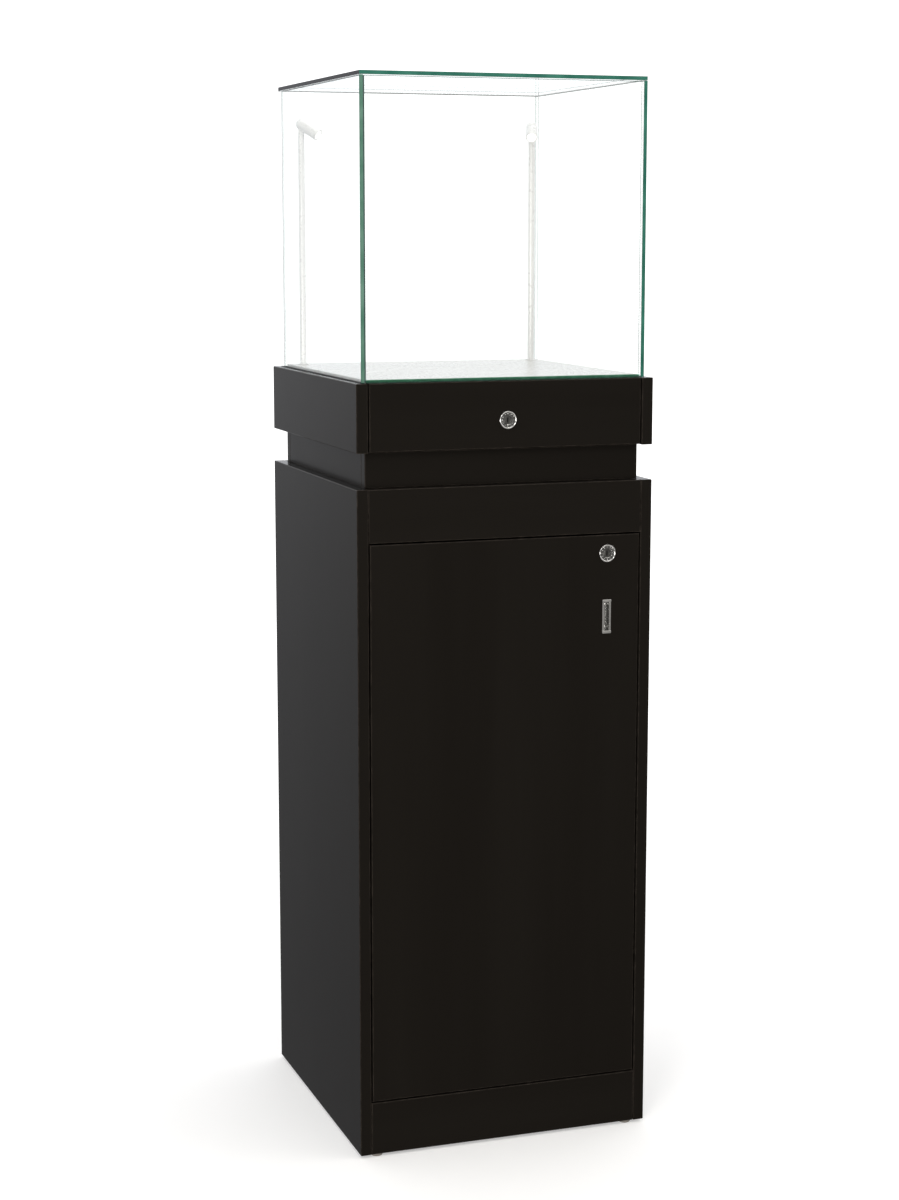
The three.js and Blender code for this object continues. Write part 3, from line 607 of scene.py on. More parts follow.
class Solid:
    """One piece under construction, in millimetres, from closed shells."""

    def __init__(self) -> None:
        """Starts with nothing."""
        self.bm = bmesh.new()

    def _take(self, part: Shell, at: Matrix, slot: int | None) -> "Solid":
        """Adds a shell and frees it.

        Args:
            part: The shell, in the drawing's own coordinates.
            at: Where the drawing goes.
            slot: The material slot, or None to keep each face's own.

        Returns:
            The piece itself.
        """
        if slot is not None:
            for face in part.faces:
                face.material_index = slot
        bmesh.ops.transform(part, matrix=at, verts=part.verts)
        bmesh.ops.recalc_face_normals(part, faces=part.faces)
        mesh = bpy.data.meshes.new("part")
        part.to_mesh(mesh)
        part.free()
        self.bm.from_mesh(mesh)
        bpy.data.meshes.remove(mesh)
        return self

    def lathe(
        self, profile: Profile, at: Matrix, steps: int = 48, slot: int = 0, closed: bool = False
    ) -> "Solid":
        """Adds a turned shell.

        Args:
            profile: Points of radius and height along the drawing's +Z.
            at: Where the drawing goes.
            steps: Faces round the turn.
            slot: The material slot.
            closed: Whether the last point joins the first, as on a ring.

        Returns:
            The piece itself.
        """
        part = bmesh.new()
        points = [part.verts.new((radius, 0.0, height)) for radius, height in profile]
        ends = points[1:] + points[:1] if closed else points[1:]
        edges = [part.edges.new(pair) for pair in zip(points, ends)]
        turn = {"cent": (0, 0, 0), "axis": (0, 0, 1), "angle": 2 * math.pi, "steps": steps}
        bmesh.ops.spin(part, geom=points + edges, use_merge=True, **turn)
        bmesh.ops.remove_doubles(part, verts=part.verts, dist=1e-4)
        return self._take(part, at, slot)

    def rod(
        self, radius: float, low: float, high: float, at: Matrix, steps: int = 24, slot: int = 0
    ) -> "Solid":
        """Adds a plain rod.

        Args:
            radius: Its radius.
            low: Its lower end along the drawing's +Z.
            high: Its upper end.
            at: Where the drawing goes.
            steps: Faces round it.
            slot: The material slot.

        Returns:
            The piece itself.
        """
        return self.lathe([(0, low), (radius, low), (radius, high), (0, high)], at, steps, slot)

    def block(
        self, low: Place, high: Place, at: Matrix = Matrix.Identity(4), round_by: float = 0.0, slot: int = 0
    ) -> "Solid":
        """Adds a block with rounded edges.

        Args:
            low: Its lowest corner.
            high: Its highest corner.
            at: Where the drawing goes.
            round_by: The radius of its edges.
            slot: The material slot.

        Returns:
            The piece itself.
        """
        part = bmesh.new()
        bmesh.ops.create_cube(part, size=1.0)
        size, middle = Vector(high) - Vector(low), (Vector(high) + Vector(low)) / 2
        stretched = Matrix.Translation(middle) @ Matrix.Diagonal((*size, 1.0))
        bmesh.ops.transform(part, matrix=stretched, verts=part.verts)
        if round_by:
            soften(part, part.edges, round_by)
        return self._take(part, at, slot)

    def plate(
        self, outline: Profile, low: float, high: float, at: Matrix, round_by: float = 0.0, slot: int = 0
    ) -> "Solid":
        """Adds a flat plate.

        Args:
            outline: Its outline in the drawing's plane.
            low: Its lower face along +Z.
            high: Its upper face along +Z.
            at: Where the drawing goes.
            round_by: The radius of the edges of its two faces.
            slot: The material slot.

        Returns:
            The piece itself.
        """
        part = bmesh.new()
        face = part.faces.new([part.verts.new((x, y, low)) for x, y in outline])
        grown = bmesh.ops.extrude_face_region(part, geom=[face])
        top = [item for item in grown["geom"] if isinstance(item, bmesh.types.BMVert)]
        bmesh.ops.translate(part, vec=(0, 0, high - low), verts=top)
        if round_by:
            flat = [e for e in part.edges if abs(e.verts[0].co.z - e.verts[1].co.z) < 1e-6]
            soften(part, flat, round_by)
        return self._take(part, at, slot)

    def ball(self, centre: Place, radius: float) -> "Solid":
        """Adds a ball.

        Args:
            centre: Its centre.
            radius: Its radius.

        Returns:
            The piece itself.
        """
        part = bmesh.new()
        bmesh.ops.create_uvsphere(part, u_segments=16, v_segments=10, radius=radius)
        return self._take(part, Matrix.Translation(Vector(centre)), 0)

    def join(self, other: "Solid", at: Matrix = Matrix.Identity(4)) -> "Solid":
        """Adds a copy of another piece's shells.

        Args:
            other: The other piece.
            at: Where the copy goes.

        Returns:
            The piece itself.
        """
        return self._take(other.bm.copy(), at, None)

    def cut(self, *tools: "Solid") -> "Solid":
        """Takes the room of other pieces out of this one.

        Args:
            *tools: The other pieces.

        Returns:
            The piece itself.
        """
        for tool in tools:
            subject, knife = (self._loose(solid.bm) for solid in (self, tool))
            change = subject.modifiers.new("cut", "BOOLEAN")
            change.operation, change.solver, change.object = "DIFFERENCE", "EXACT", knife
            graph = bpy.context.evaluated_depsgraph_get()
            mesh = bpy.data.meshes.new_from_object(subject.evaluated_get(graph))
            self.bm.clear()
            self.bm.from_mesh(mesh)
            bpy.data.meshes.remove(mesh)
            for helper in (subject, knife):
                bpy.data.objects.remove(helper)
        return self

    @staticmethod
    def _loose(shells: Shell) -> bpy.types.Object:
        """Makes a passing object for a cut.

        Args:
            shells: Its shells.

        Returns:
            The object.
        """
        mesh = bpy.data.meshes.new("loose")
        shells.to_mesh(mesh)
        return linked("loose", mesh)

    def made(self, name: str, body: str, stands_for: str, slot: Slot, *finishes: Finish) -> bpy.types.Object:
        """Turns the piece into an object that rides on a body.

        Args:
            name: The object's name.
            body: The CAD body that carries it.
            stands_for: The CAD node that it replaces, or nothing.
            slot: The record's material slot; not used.
            *finishes: The finishes of its faces' slots.

        Returns:
            The object.
        """
        bmesh.ops.scale(self.bm, vec=(MM, MM, MM), verts=self.bm.verts)
        mesh = bpy.data.meshes.new(name)
        self.bm.to_mesh(mesh)
        self.bm.free()
        mesh.shade_smooth()
        mesh.set_sharp_from_angle(angle=math.radians(32))
        for finish in finishes:
            mesh.materials.append(finish.material())
        piece = linked(name, mesh)
        even = piece.modifiers.new("flat_faces_stay_flat", "WEIGHTED_NORMAL")
        even.keep_sharp = True
        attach(piece, body)
        if stands_for:
            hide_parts(stands_for)
        return piece


def soften(part: Shell, edges: Iterable[bmesh.types.BMEdge], radius: float) -> None:
    """Rounds edges of a shell.

    Args:
        part: The shell.
        edges: Its edges to round.
        radius: The radius.
    """
    shape = {"segments": 2, "profile": 0.5, "affect": "EDGES", "material": -1, "clamp_overlap": True}
    bmesh.ops.bevel(part, geom=list(edges), offset=radius, **shape)


def arc(
    radius: float, start: float, end: float, steps: int, centre: tuple[float, float] = (0.0, 0.0)
) -> Outline:
    """Gives points along an arc.

    Args:
        radius: Its radius.
        start: The angle of its first point, in degrees from the drawing's +X.
        end: The angle of its last point.
        steps: How many steps lie between them.
        centre: Its centre.

    Returns:
        Its points, with both ends.
    """
    angles = [math.radians(start + (end - start) * step / steps) for step in range(steps + 1)]
    return [(centre[0] + radius * math.cos(turn), centre[1] + radius * math.sin(turn)) for turn in angles]


def hexagon(radius: float) -> Outline:
    """Gives the outline of a nut with its corners on a circle of that radius."""
    return arc(radius, 0, 300, 5)


def rounded(width: float, height: float, corner: float, steps: int = 6) -> Outline:
    """Gives a rectangle with round corners about the origin.

    Args:
        width: Its width.
        height: Its height.
        corner: The radius of its corners.
        steps: Steps along each corner.

    Returns:
        Its outline, counter-clockwise.
    """
    points: Outline = []
    for sign_x, sign_y, start in ((1, 1, 0), (-1, 1, 90), (-1, -1, 180), (1, -1, 270)):
        centre = (sign_x * (width / 2 - corner), sign_y * (height / 2 - corner))
        points += arc(corner, start, start + 90, steps, centre)
    return points


# ---- sub-assemblies ----------------------------------------------------------------------------


class Cabinet:
    """The laminated boards of the two blocks, the neck, the door and the deck."""

    UPRIGHT = (
        "left_side_panel right_side_panel back_panel door_panel upper_left_panel upper_right_panel "
        "neck_left_board neck_right_board"
    )
    ACROSS = (
        "kick_board front_rail neck_front_board neck_rear_board upper_rear_rail deck_front "
        "cupboard_shelf"
    )
    BACKWARD = "cupboard_floor lower_top_panel upper_floor_panel deck_runner_left deck_runner_right"

    def build(self) -> None:
        """Finishes the boards."""
        paint(Finishes.upright, *self.UPRIGHT.split())
        paint(Finishes.across, *self.ACROSS.split())
        paint(Finishes.backward, *self.BACKWARD.split())
        paint(Finishes.white, "display_deck")


@dataclass
class GlassHood:
    """The five panes, with clear faces and green polished edges."""

    arris: float = 0.5
    bead: float = 0.9
    panes: tuple[str, ...] = ("left", "right", "rear", "top", "front")
    square: float = 0.95  # how squarely a face stands to an axis before it counts as flat
    FACE, EDGE, JOINT, ARRIS = range(4)
    GLUED = {"left": [(0, 0, 1)], "right": [(0, 0, 1)], "rear": [(0, 0, 1), (1, 0, 0), (-1, 0, 0)]}

    def pane(self, word: str) -> None:
        """Builds one pane in place of its CAD node.

        Args:
            word: Which pane.
        """
        node = f"glass_{word}_pane"
        low, high = box_mm(node)
        size = high - low
        thin = min(range(3), key=lambda axis: size[axis])
        pane = Solid().block(low, high, round_by=self.arris, slot=self.FACE)
        glued = [Vector(way) for way in self.GLUED.get(word, ())]
        for face in pane.bm.faces:
            face.normal_update()
            if abs(face.normal[thin]) > self.square:
                continue
            flat = max(abs(part) for part in face.normal) > self.square
            face.material_index = self.EDGE if flat else self.ARRIS
            if any(face.normal.dot(way) > 0.8 for way in glued):
                face.material_index = self.JOINT
        clear = Finishes.glass_front if word == "front" else Finishes.glass_face
        # the left pane's edges take the lighter copy: painted light
        edge = Finishes.glass_edge_painted_lighter if word == "left" else Finishes.glass_edge
        body = "deck" if word == "front" else "case"
        finishes = (clear, edge, Finishes.glass_joint, Finishes.glass_arris_shaded)
        pane.made(f"pane_{word}", body, node, Slot.GLASS, *finishes)

    def beads(self) -> None:
        """Builds the thin beads of glue in the inside corners under the top pane."""
        under = box_mm("glass_top_pane")[0].z
        inside = box_mm("glass_right_pane")[0].x
        size = self.bead
        run = Solid().block((-inside, inside - size, under - size), (inside, inside, under), round_by=0.2)
        for side in (-1, 1):
            near, far = sorted((side * (inside - size), side * inside))
            run.block((near, -inside + 1.0, under - size), (far, inside, under), round_by=0.2)
        run.made("glue_beads", "case", "", Slot.GLASS, Finishes.glue)

    def build(self) -> None:
        """Builds every pane and the beads of glue."""
        for word in self.panes:
            self.pane(word)
        self.beads()


@dataclass(frozen=True)
class ScrewHead:
    """A pan-head screw with a cross recess."""

    radius: float = 2.6
    rise: float = 1.3
    slot: float = 0.7

    def solid(self) -> Solid:
        """Builds the head on the drawing's plane.

        Returns:
            The head.
        """
        radius, rise = self.radius, self.rise
        share = ((0, 1), (0.45, 0.94), (0.8, 0.72), (1, 0.3))
        dome = [(radius * across, rise * up) for across, up in share]
        head = Solid().lathe(dome + [(radius, -0.3), (0, -0.3)], placed((0, 0, 0)), 24)
        reach, half = radius * 0.55, self.slot / 2
        bars = [
            Solid().block((-reach, -half, rise * 0.35), (reach, half, rise + 1)),
            Solid().block((-half, -reach, rise * 0.35), (half, reach, rise + 1)),
        ]
        return head.cut(*bars)


@dataclass(frozen=True)
class CamLock:
    """A cam lock of the deck or door: a chrome housing with its nut, and a turning plug with its cam."""

    word: str
    centre: Place
    reach: float
    set_back: float
    cam_turn: float
    bezel: float = 11.5
    proud: float = 2.5
    barrel: float = 9.3
    bore: float = 5.9
    length: float = 18.5
    nut: float = 13.0
    nut_height: float = 3.0
    dots: int = 12
    dot: float = 0.7
    keyway: tuple[float, float] = (1.8, 7.0)
    cam: tuple[float, float, float] = (7.0, 5.0, 2.0)  # radius at the root and tip, thickness

    def housing(self) -> None:
        """Builds the bezel, its dimpled face, the barrel and the nut."""
        at = placed(self.centre, Facing.FRONT)
        bore, rim, proud, back = self.bore, self.bezel, self.proud, -self.length
        profile = [
            (bore, 0.75), (bore + 0.25, 1.0), (rim - 2.3, 1.0), (rim - 2.1, 1.5), (rim - 1.8, 2.05),
            (rim - 1.3, proud - 0.08), (rim - 0.9, proud), (rim - 0.5, proud - 0.15),
            (rim - 0.2, proud - 0.5), (rim - 0.03, proud - 1.0), (rim, proud - 1.4), (rim, 0.3),
            (rim - 0.1, SEAM), (self.barrel, SEAM), (self.barrel, back + 0.6), (self.barrel - 0.6, back),
            (bore, back),
        ]
        solid = Solid().lathe(profile, at, 72, closed=True)
        near, far = bore + 0.3, rim - 2.35
        # the dimpled face takes the darker chrome (slot 1): painted shade
        solid.lathe([(near, 0.8), (far, 0.8), (far, 1.04), (near, 1.04)], at, 72, 1, closed=True)
        for x, y in arc((near + far) / 2, 0, 360, self.dots)[1:]:
            solid.ball(tuple(at @ Vector((x, y, 1.0))), self.dot)
        back += SEAM
        nut = Solid().plate(hexagon(self.nut), back, back + self.nut_height, at, 0.35)
        solid.join(nut.cut(Solid().rod(self.barrel - 0.3, -30, 0, at, 48)))
        name, node = f"{self.word}_lock_case", f"{self.word}_lock_housing"
        solid.made(name, self.word, node, Slot.CHROME, Finishes.chrome, Finishes.shade)

    def plug(self) -> None:
        """Builds the plug with its keyway, and the cam with its nut."""
        at = placed(self.centre, Facing.FRONT)
        radius, start = self.bore - 0.3, -self.length - 0.35
        face = start - self.set_back
        profile = [
            (0, 0.2), (radius - 1.4, 0.2), (radius - 1.2, 0.05), (radius - 1.0, 0.2), (radius - 0.5, 0.2),
            (radius, -0.3), (radius, start), (4, start - 0.5), (4, face - 4), (3, face - 5), (0, face - 5),
        ]
        # the plug takes the darker chrome: painted shade in its recess
        body = Solid().lathe(profile, at, 48)
        # the keyway's faces take black plastic: painted shade inside the cut
        slot = Solid().plate(rounded(*self.keyway, 0.6, 3), -6.0, 1.0, at, slot=2)
        ward = Solid().block((-1.5, -1.2, -6.0), (0, -0.5, 1.0), at, slot=2)
        body.cut(slot, ward)
        root, tip, thick = self.cam
        outline = [(0.0, -root), (root, -tip)] + arc(tip, -90, 90, 12, (self.reach - tip, 0.0))
        outline += [(root, tip), (0.0, root)] + arc(root, 105, 255, 10)
        cam_at = at @ Matrix.Rotation(math.radians(self.cam_turn), 4, "Z")
        body.join(Solid().plate(outline, face - thick, face, cam_at, 0.3, 1))
        body.plate(hexagon(5.4), face - 4.6, face - thick, at, 0.25, 1)
        name, node = f"{self.word}_lock_plug_and_cam", f"{self.word}_lock_plug"
        carrier = f"{self.word}_lock_cam"
        body.made(name, carrier, node, Slot.CHROME, Finishes.shade, Finishes.steel, Finishes.black)

    def build(self) -> None:
        """Builds both parts of the lock."""
        self.housing()
        self.plug()


@dataclass(frozen=True)
class FlushPull:
    """The slim plated pull let into the door, with raised end lips and a round-bottomed trough."""

    centre: Place = (138.0, -200.0, 699.0)
    width: float = 12.0
    height: float = 45.0
    proud: float = 1.0
    lip: tuple[float, float, float] = (12.8, 4.0, 1.75)
    trough: float = 3.5
    trough_axis: float = 4.25
    tray: tuple[float, float, float] = (9.0, 42.0, 9.0)
    screw_inset: float = 3.6

    def build(self) -> None:
        """Builds the pull and its two screws."""
        at = placed(self.centre, Facing.FRONT)
        half = self.height / 2 - self.lip[1]
        # the trough's faces (slot 1) take the darker chrome: painted shade
        mouth = Solid().block((-self.trough, -half, -self.trough_axis), (self.trough, half, 3.0), at, slot=1)
        along = at @ Matrix.Translation((0, 0, -self.trough_axis)) @ Matrix.Rotation(-math.pi / 2, 4, "X")
        round_bottom = Solid().rod(self.trough, -half, half, along, 48, 1)
        rim = Solid().plate(rounded(self.width, self.height, 1.0), SEAM, self.proud, at, 0.3).cut(mouth)
        tray = Solid().plate(rounded(*self.tray[:2], 1.0), -self.tray[2], 0.5, at).cut(mouth, round_bottom)
        pull = rim.join(tray)
        bottom = 0.3 - self.trough_axis - self.trough
        for end in (-1, 1):
            lip_at = at @ Matrix.Translation((0, end * (self.height - self.lip[1]) / 2, 0))
            pull.plate(rounded(*self.lip[:2], 1.2), SEAM, self.lip[2], lip_at, 0.6)
            screw_at = at @ Matrix.Translation((0, end * (half - self.screw_inset), bottom))
            pull.join(ScrewHead(2.1, 0.9, 0.6).solid(), screw_at)
        pull.made("pull_plate", "door", "flush_pull", Slot.CHROME, Finishes.chrome, Finishes.brushed_shaded_chrome)


@dataclass(frozen=True)
class ConcealedHinge:
    """One cup hinge: the pressed cup, and the screws of its cup and arm."""

    word: str
    height: float
    cup_x: float = -160.5
    door_back: float = -185.0
    cup: float = 17.5
    depth: float = 11.0
    wall: float = 2.5
    wing: tuple[float, float] = (14.0, 60.0)
    pin: tuple[float, float] = (-156.5, -187.0)
    arm_pin: tuple[float, float] = (-169.5, -176.5)
    cup_screw: float = 24.0
    plate_x: float = -182.55
    plate_screw: tuple[float, float] = (-138.0, 20.5)
    rivet: float = 7.8
    arm_x: float = -171.5
    arm_screws: tuple[float, float] = (-148.0, -126.0)

    def build(self) -> None:
        """Builds the cup in place of its node, and the screws of the arm."""
        at = placed((self.cup_x, self.door_back, self.height), Facing.BACK)
        r, inner, floor = self.cup, self.cup - self.wall, -self.depth
        profile = [
            (0, floor), (r - 1.0, floor), (r - 0.3, floor + 0.3), (r, floor + 1.0), (r, SEAM),
            (r + 1.5, SEAM), (r + 1.5, 1.4), (r + 1.2, 1.75), (inner + 0.4, 1.75), (inner, 1.4),
            (inner, floor + 2.2), (inner - 1.0, floor + 1.2), (0, floor + 1.2),
        ]
        cup = Solid().lathe(profile, at, 64)
        wing = Solid().plate(rounded(*self.wing, 6.0), SEAM, 1.75, at, 0.3)
        cup.join(wing.cut(Solid().rod(inner + 1, -5, 5, at, 64)))
        cup.rod(1.5, 1.5 - r, r - 1.5, placed((*self.pin, self.height)))
        head = ScrewHead(3.2, 0.9, 0.8).solid()
        screws = Solid()
        for end in (-1, 1):
            cup.join(head, at @ Matrix.Translation((0, end * self.cup_screw, 1.75)))
            along, up = self.plate_screw
            screws.join(head, placed((self.plate_x, along, self.height + end * up), Facing.RIGHT))
            way = Facing.UP if end > 0 else Facing.DOWN
            rivet = placed((*self.arm_pin, self.height + end * self.rivet), way)
            screws.lathe([(0, 0.7), (1.6, 0.6), (2.3, 0.25), (2.4, -0.2), (0, -0.2)], rivet, 24)
        for back in self.arm_screws:
            arm_at = placed((self.arm_x, back, self.height), Facing.RIGHT)
            screws.join(ScrewHead(3.0, 0.9, 0.8).solid(), arm_at)
        node = f"hinge_cup_{self.word}"
        cup.made(f"{node}_pressed", "door", node, Slot.STEEL, Finishes.steel)
        screws.made(f"hinge_screws_{self.word}", "case", "", Slot.STEEL, Finishes.steel)


@dataclass(frozen=True)
class BallSlide:
    """One telescopic slide: round balls in their cages, and the screws of the inner member."""

    word: str
    side: int
    height: float = 966.0
    front: float = -183.0
    ball: float = 1.64
    rows: tuple[tuple[float, float, float, float], ...] = (
        (178.375, 19.325, 165.0, 320.0),
        (177.375, 15.325, 10.0, 165.0),
    )
    balls: int = 5
    screw_x: float = 173.5
    screw_places: tuple[float, ...] = (-150.0, -40.0, 70.0)

    def build(self) -> None:
        """Builds the balls, the cages and the screws."""
        cages = Solid()
        for x, rise, near, far in self.rows:
            for up in (-1, 1):
                z, across = self.height + up * rise, self.side * x
                low = (across - 2.4, self.front + near - 4.0, z - 0.4)
                high = (across + 2.4, self.front + far + 4.0, z + 0.4)
                cages.block(low, high, round_by=0.25, slot=1)
                for step in range(self.balls):
                    y = self.front + near + (far - near) * step / (self.balls - 1)
                    cages.ball((across, y, z), self.ball)
        body = f"slide_middle_{self.word}_member"
        cages.made(f"slide_balls_{self.word}", body, "", Slot.STEEL, Finishes.chrome, Finishes.grey)
        screws = Solid()
        outward = Facing.LEFT if self.side < 0 else Facing.RIGHT
        for y in self.screw_places:
            screw_at = placed((self.side * self.screw_x, y, self.height), outward)
            screws.join(ScrewHead(3.2, 1.1, 0.8).solid(), screw_at)
        screws.made(f"slide_screws_{self.word}", "deck", "", Slot.STEEL, Finishes.steel)


@dataclass(frozen=True)
class PoleLight:
    """One light: a bush in the deck, a turning pole and a tilting head with a diode behind a lens."""

    word: str
    side: int
    axis: tuple[float, float] = (168.0, 158.0)
    deck: float = DECK_TOP
    tilt_axis: float = 1338.0
    pole: float = 4.5
    spigot: float = 6.2
    collar: float = 6.0
    bush_nut: float = 8.6
    under: float = -15.25
    blade: tuple[float, float, float] = (15.0, 3.6, 4.4)
    head: float = 8.0
    head_length: float = 38.0
    turn: float = 45.0
    dip: float = 30.0

    def build(self) -> None:
        """Builds the light's three pieces and its lens."""
        foot = placed((self.side * self.axis[0], self.axis[1], self.deck))
        self.bush(foot)
        pivot = foot @ Matrix.Translation((0, 0, self.tilt_axis - self.deck))
        pivot = pivot @ Matrix.Rotation(math.radians(-self.side * self.turn), 4, "Z")
        self.stem(pivot)
        self.top(pivot @ Matrix.Rotation(math.radians(self.dip), 4, "X") @ Facing.FRONT.value)

    def bush(self, foot: Matrix) -> None:
        """Builds the flanged bush and its nut.

        Args:
            foot: The pole's axis at the deck.
        """
        bore, rim = self.pole + 0.35, self.spigot + 1.3
        profile = [
            (bore, 1.5), (bore + 0.3, 1.75), (rim - 0.8, 1.75), (rim - 0.25, 1.5), (rim, 1.0), (rim, SEAM),
            (self.spigot, SEAM), (self.spigot, self.under - 3.8), (bore, self.under - 3.8),
        ]
        solid = Solid().lathe(profile, foot, 48, closed=True)
        nut = Solid().plate(hexagon(self.bush_nut), self.under - 3.6, self.under, foot, 0.3)
        solid.join(nut.cut(Solid().rod(self.spigot - 0.2, -30, 0, foot, 32)))
        node = f"light_bush_{self.word}"
        solid.made(f"light_flange_{self.word}", "deck", node, Slot.SILVER, Finishes.silver)

    def stem(self, pivot: Matrix) -> None:
        """Builds the pole with its collar and blade.

        Args:
            pivot: The tilt axis, with the drawing's +X along it.
        """
        length, half, thick = self.blade
        wide, thin = self.collar, self.pole
        top = self.under - 4.35 - (self.tilt_axis - self.deck)
        profile = [
            (0, top - 4), (wide - 0.5, top - 4), (wide, top - 3.5), (wide, top), (thin, top),
            (thin, -length - 1.5), (thin - 0.25, -length - 0.7), (thin - 0.9, -length), (0, -length),
        ]
        solid = Solid().lathe(profile, pivot, 48)
        outline = [(-half, -length - 1.0), (half, -length - 1.0)] + arc(half, 0, 180, 16)
        edge_on = pivot @ Facing.RIGHT.value
        blade = Solid().plate(outline, -thick / 2, thick / 2, edge_on, 0.4)
        solid.join(blade.cut(Solid().rod(1.65, -9, 9, edge_on)))
        body, node = f"{self.word}_light_pole", f"light_pole_{self.word}"
        solid.made(f"light_stem_{self.word}", body, node, Slot.SILVER, Finishes.silver)

    def top(self, aim: Matrix) -> None:
        """Builds the head, its pin and its lens.

        Args:
            aim: The tilt axis, with the drawing's +Z along the head's line of sight.
        """
        r, front = self.head, self.head_length - 7.0
        profile = arc(r, -90, 0, 12, (0.0, 1.0)) + [
            (r, front - 6.0), (r - 0.3, front - 5.7), (r - 0.3, front - 5.1), (r, front - 4.8),
            (r, front - 0.5), (r - 0.15, front - 0.15), (r - 0.5, front), (r - 1.0, front),
            (r - 1.4, front - 0.4), (r - 1.7, front - 3.0), (0, front - 3.0),
        ]
        shell = Solid().lathe(profile, aim, 56)
        shell.cut(Solid().block((-2.55, -r - 2, -5.5), (2.55, 4.8, 12.5), aim))
        shell.rod(1.5, -3.4, 3.4, aim @ Facing.RIGHT.value)
        body, node = f"{self.word}_light_head", f"light_head_{self.word}"
        shell.made(f"light_shell_{self.word}", body, node, Slot.SILVER, Finishes.silver)
        rim = r - 1.8
        lens = [(0, front - 0.8), (rim * 0.5, front - 1.0), (rim * 0.85, front - 1.6), (rim, front - 2.3)]
        glass = Solid().lathe(lens + [(rim, front - 3.1), (0, front - 3.1)], aim, 40)
        glass.made(f"light_lens_{self.word}", body, "", Slot.NONE, Finishes.lens)


@dataclass(frozen=True)
class Footing:
    """The four nail-on glides."""

    radius: float = 8.0
    height: float = 3.75
    places: tuple[float, float] = (176.0, 191.0)

    def build(self) -> None:
        """Builds the glides in place of their nodes."""
        r, h = self.radius, self.height
        profile = [
            (0, 0), (r - 2.2, 0), (r - 1.0, 0.35), (r - 0.3, 1.1), (r, 2.1), (r, h - 0.3), (r - 0.3, h),
            (1.2, h), (1.2, 14.0), (0, 15.0),
        ]
        for end, y in (("front", -self.places[1]), ("rear", self.places[1])):
            for word, x in (("left", -self.places[0]), ("right", self.places[0])):
                glide = Solid().lathe(profile, placed((x, y, 0)), 40)
                node = f"glide_{end}_{word}"
                glide.made(f"glide_pad_{end}_{word}", "case", node, Slot.GREY, Finishes.grey)


@dataclass(frozen=True)
class Fittings:
    """The cable outlet, the covers of the board connectors and the nodes that keep their own shape."""

    outlet: Place = (0.0, 200.0, 952.0)
    bore: float = 4.0
    barrel: float = 5.6
    cover: float = 8.5
    cover_x: float = 150.0
    cover_y: float = 185.0
    cover_heights: tuple[float, ...] = (130.0, 330.0, 590.0, 790.0)

    STEEL = (
        *(f"shelf_pin_{end}_{side}" for end in ("front", "rear") for side in SIDES),
        *(f"slide_{member}_{side}" for member in ("outer", "inner", "middle") for side in SIDES),
        *(f"hinge_{link}_{level}" for link in ("arm", "front_link", "rear_link") for level in LEVELS),
    )

    def build(self) -> None:
        """Builds the fittings and finishes the steel nodes."""
        paint(Finishes.steel, *self.STEEL)
        at = placed(self.outlet, Facing.BACK)
        rim = self.barrel + 2.5
        profile = [
            (self.bore, -16.5), (self.barrel, -16.5), (self.barrel, SEAM), (rim, SEAM), (rim, 1.0),
            (rim - 0.3, 1.5), (rim - 0.9, 1.75), (self.bore + 0.9, 1.75), (self.bore + 0.2, 1.5),
            (self.bore, 0.9),
        ]
        ring = Solid().lathe(profile, at, 48, closed=True)
        ring.made("cable_grommet", "case", "cable_outlet_bush", Slot.BLACK, Finishes.black)
        covers = Solid()
        dome = [(0, 0.55), (self.cover - 1.4, 0.5), (self.cover - 0.3, 0.3), (self.cover, -0.1), (0, -0.1)]
        for x in (-self.cover_x, self.cover_x):
            for z in self.cover_heights:
                covers.lathe(dome, placed((x, self.cover_y, z), Facing.FRONT), 32)
        covers.made("connector_covers", "case", "", Slot.BLACK, Finishes.black)


# ---- studio ------------------------------------------------------------------------------------


@dataclass(frozen=True)
class Lamp:
    """A soft studio lamp."""

    name: str
    place: Place
    target: Place
    size: tuple[float, float]
    power: float
    colour: Colour = (1.0, 1.0, 1.0)

    def build(self) -> None:
        """Hangs the lamp and aims it."""
        light = bpy.data.lights.new(self.name, "AREA")
        light.shape = "RECTANGLE"
        light.size, light.size_y = self.size
        light.energy = self.power
        light.color = self.colour
        holder = linked(self.name, light)
        holder.location = self.place
        holder.rotation_euler = (Vector(self.target) - Vector(self.place)).to_track_quat("-Z", "Y").to_euler()
        holder.visible_camera = False


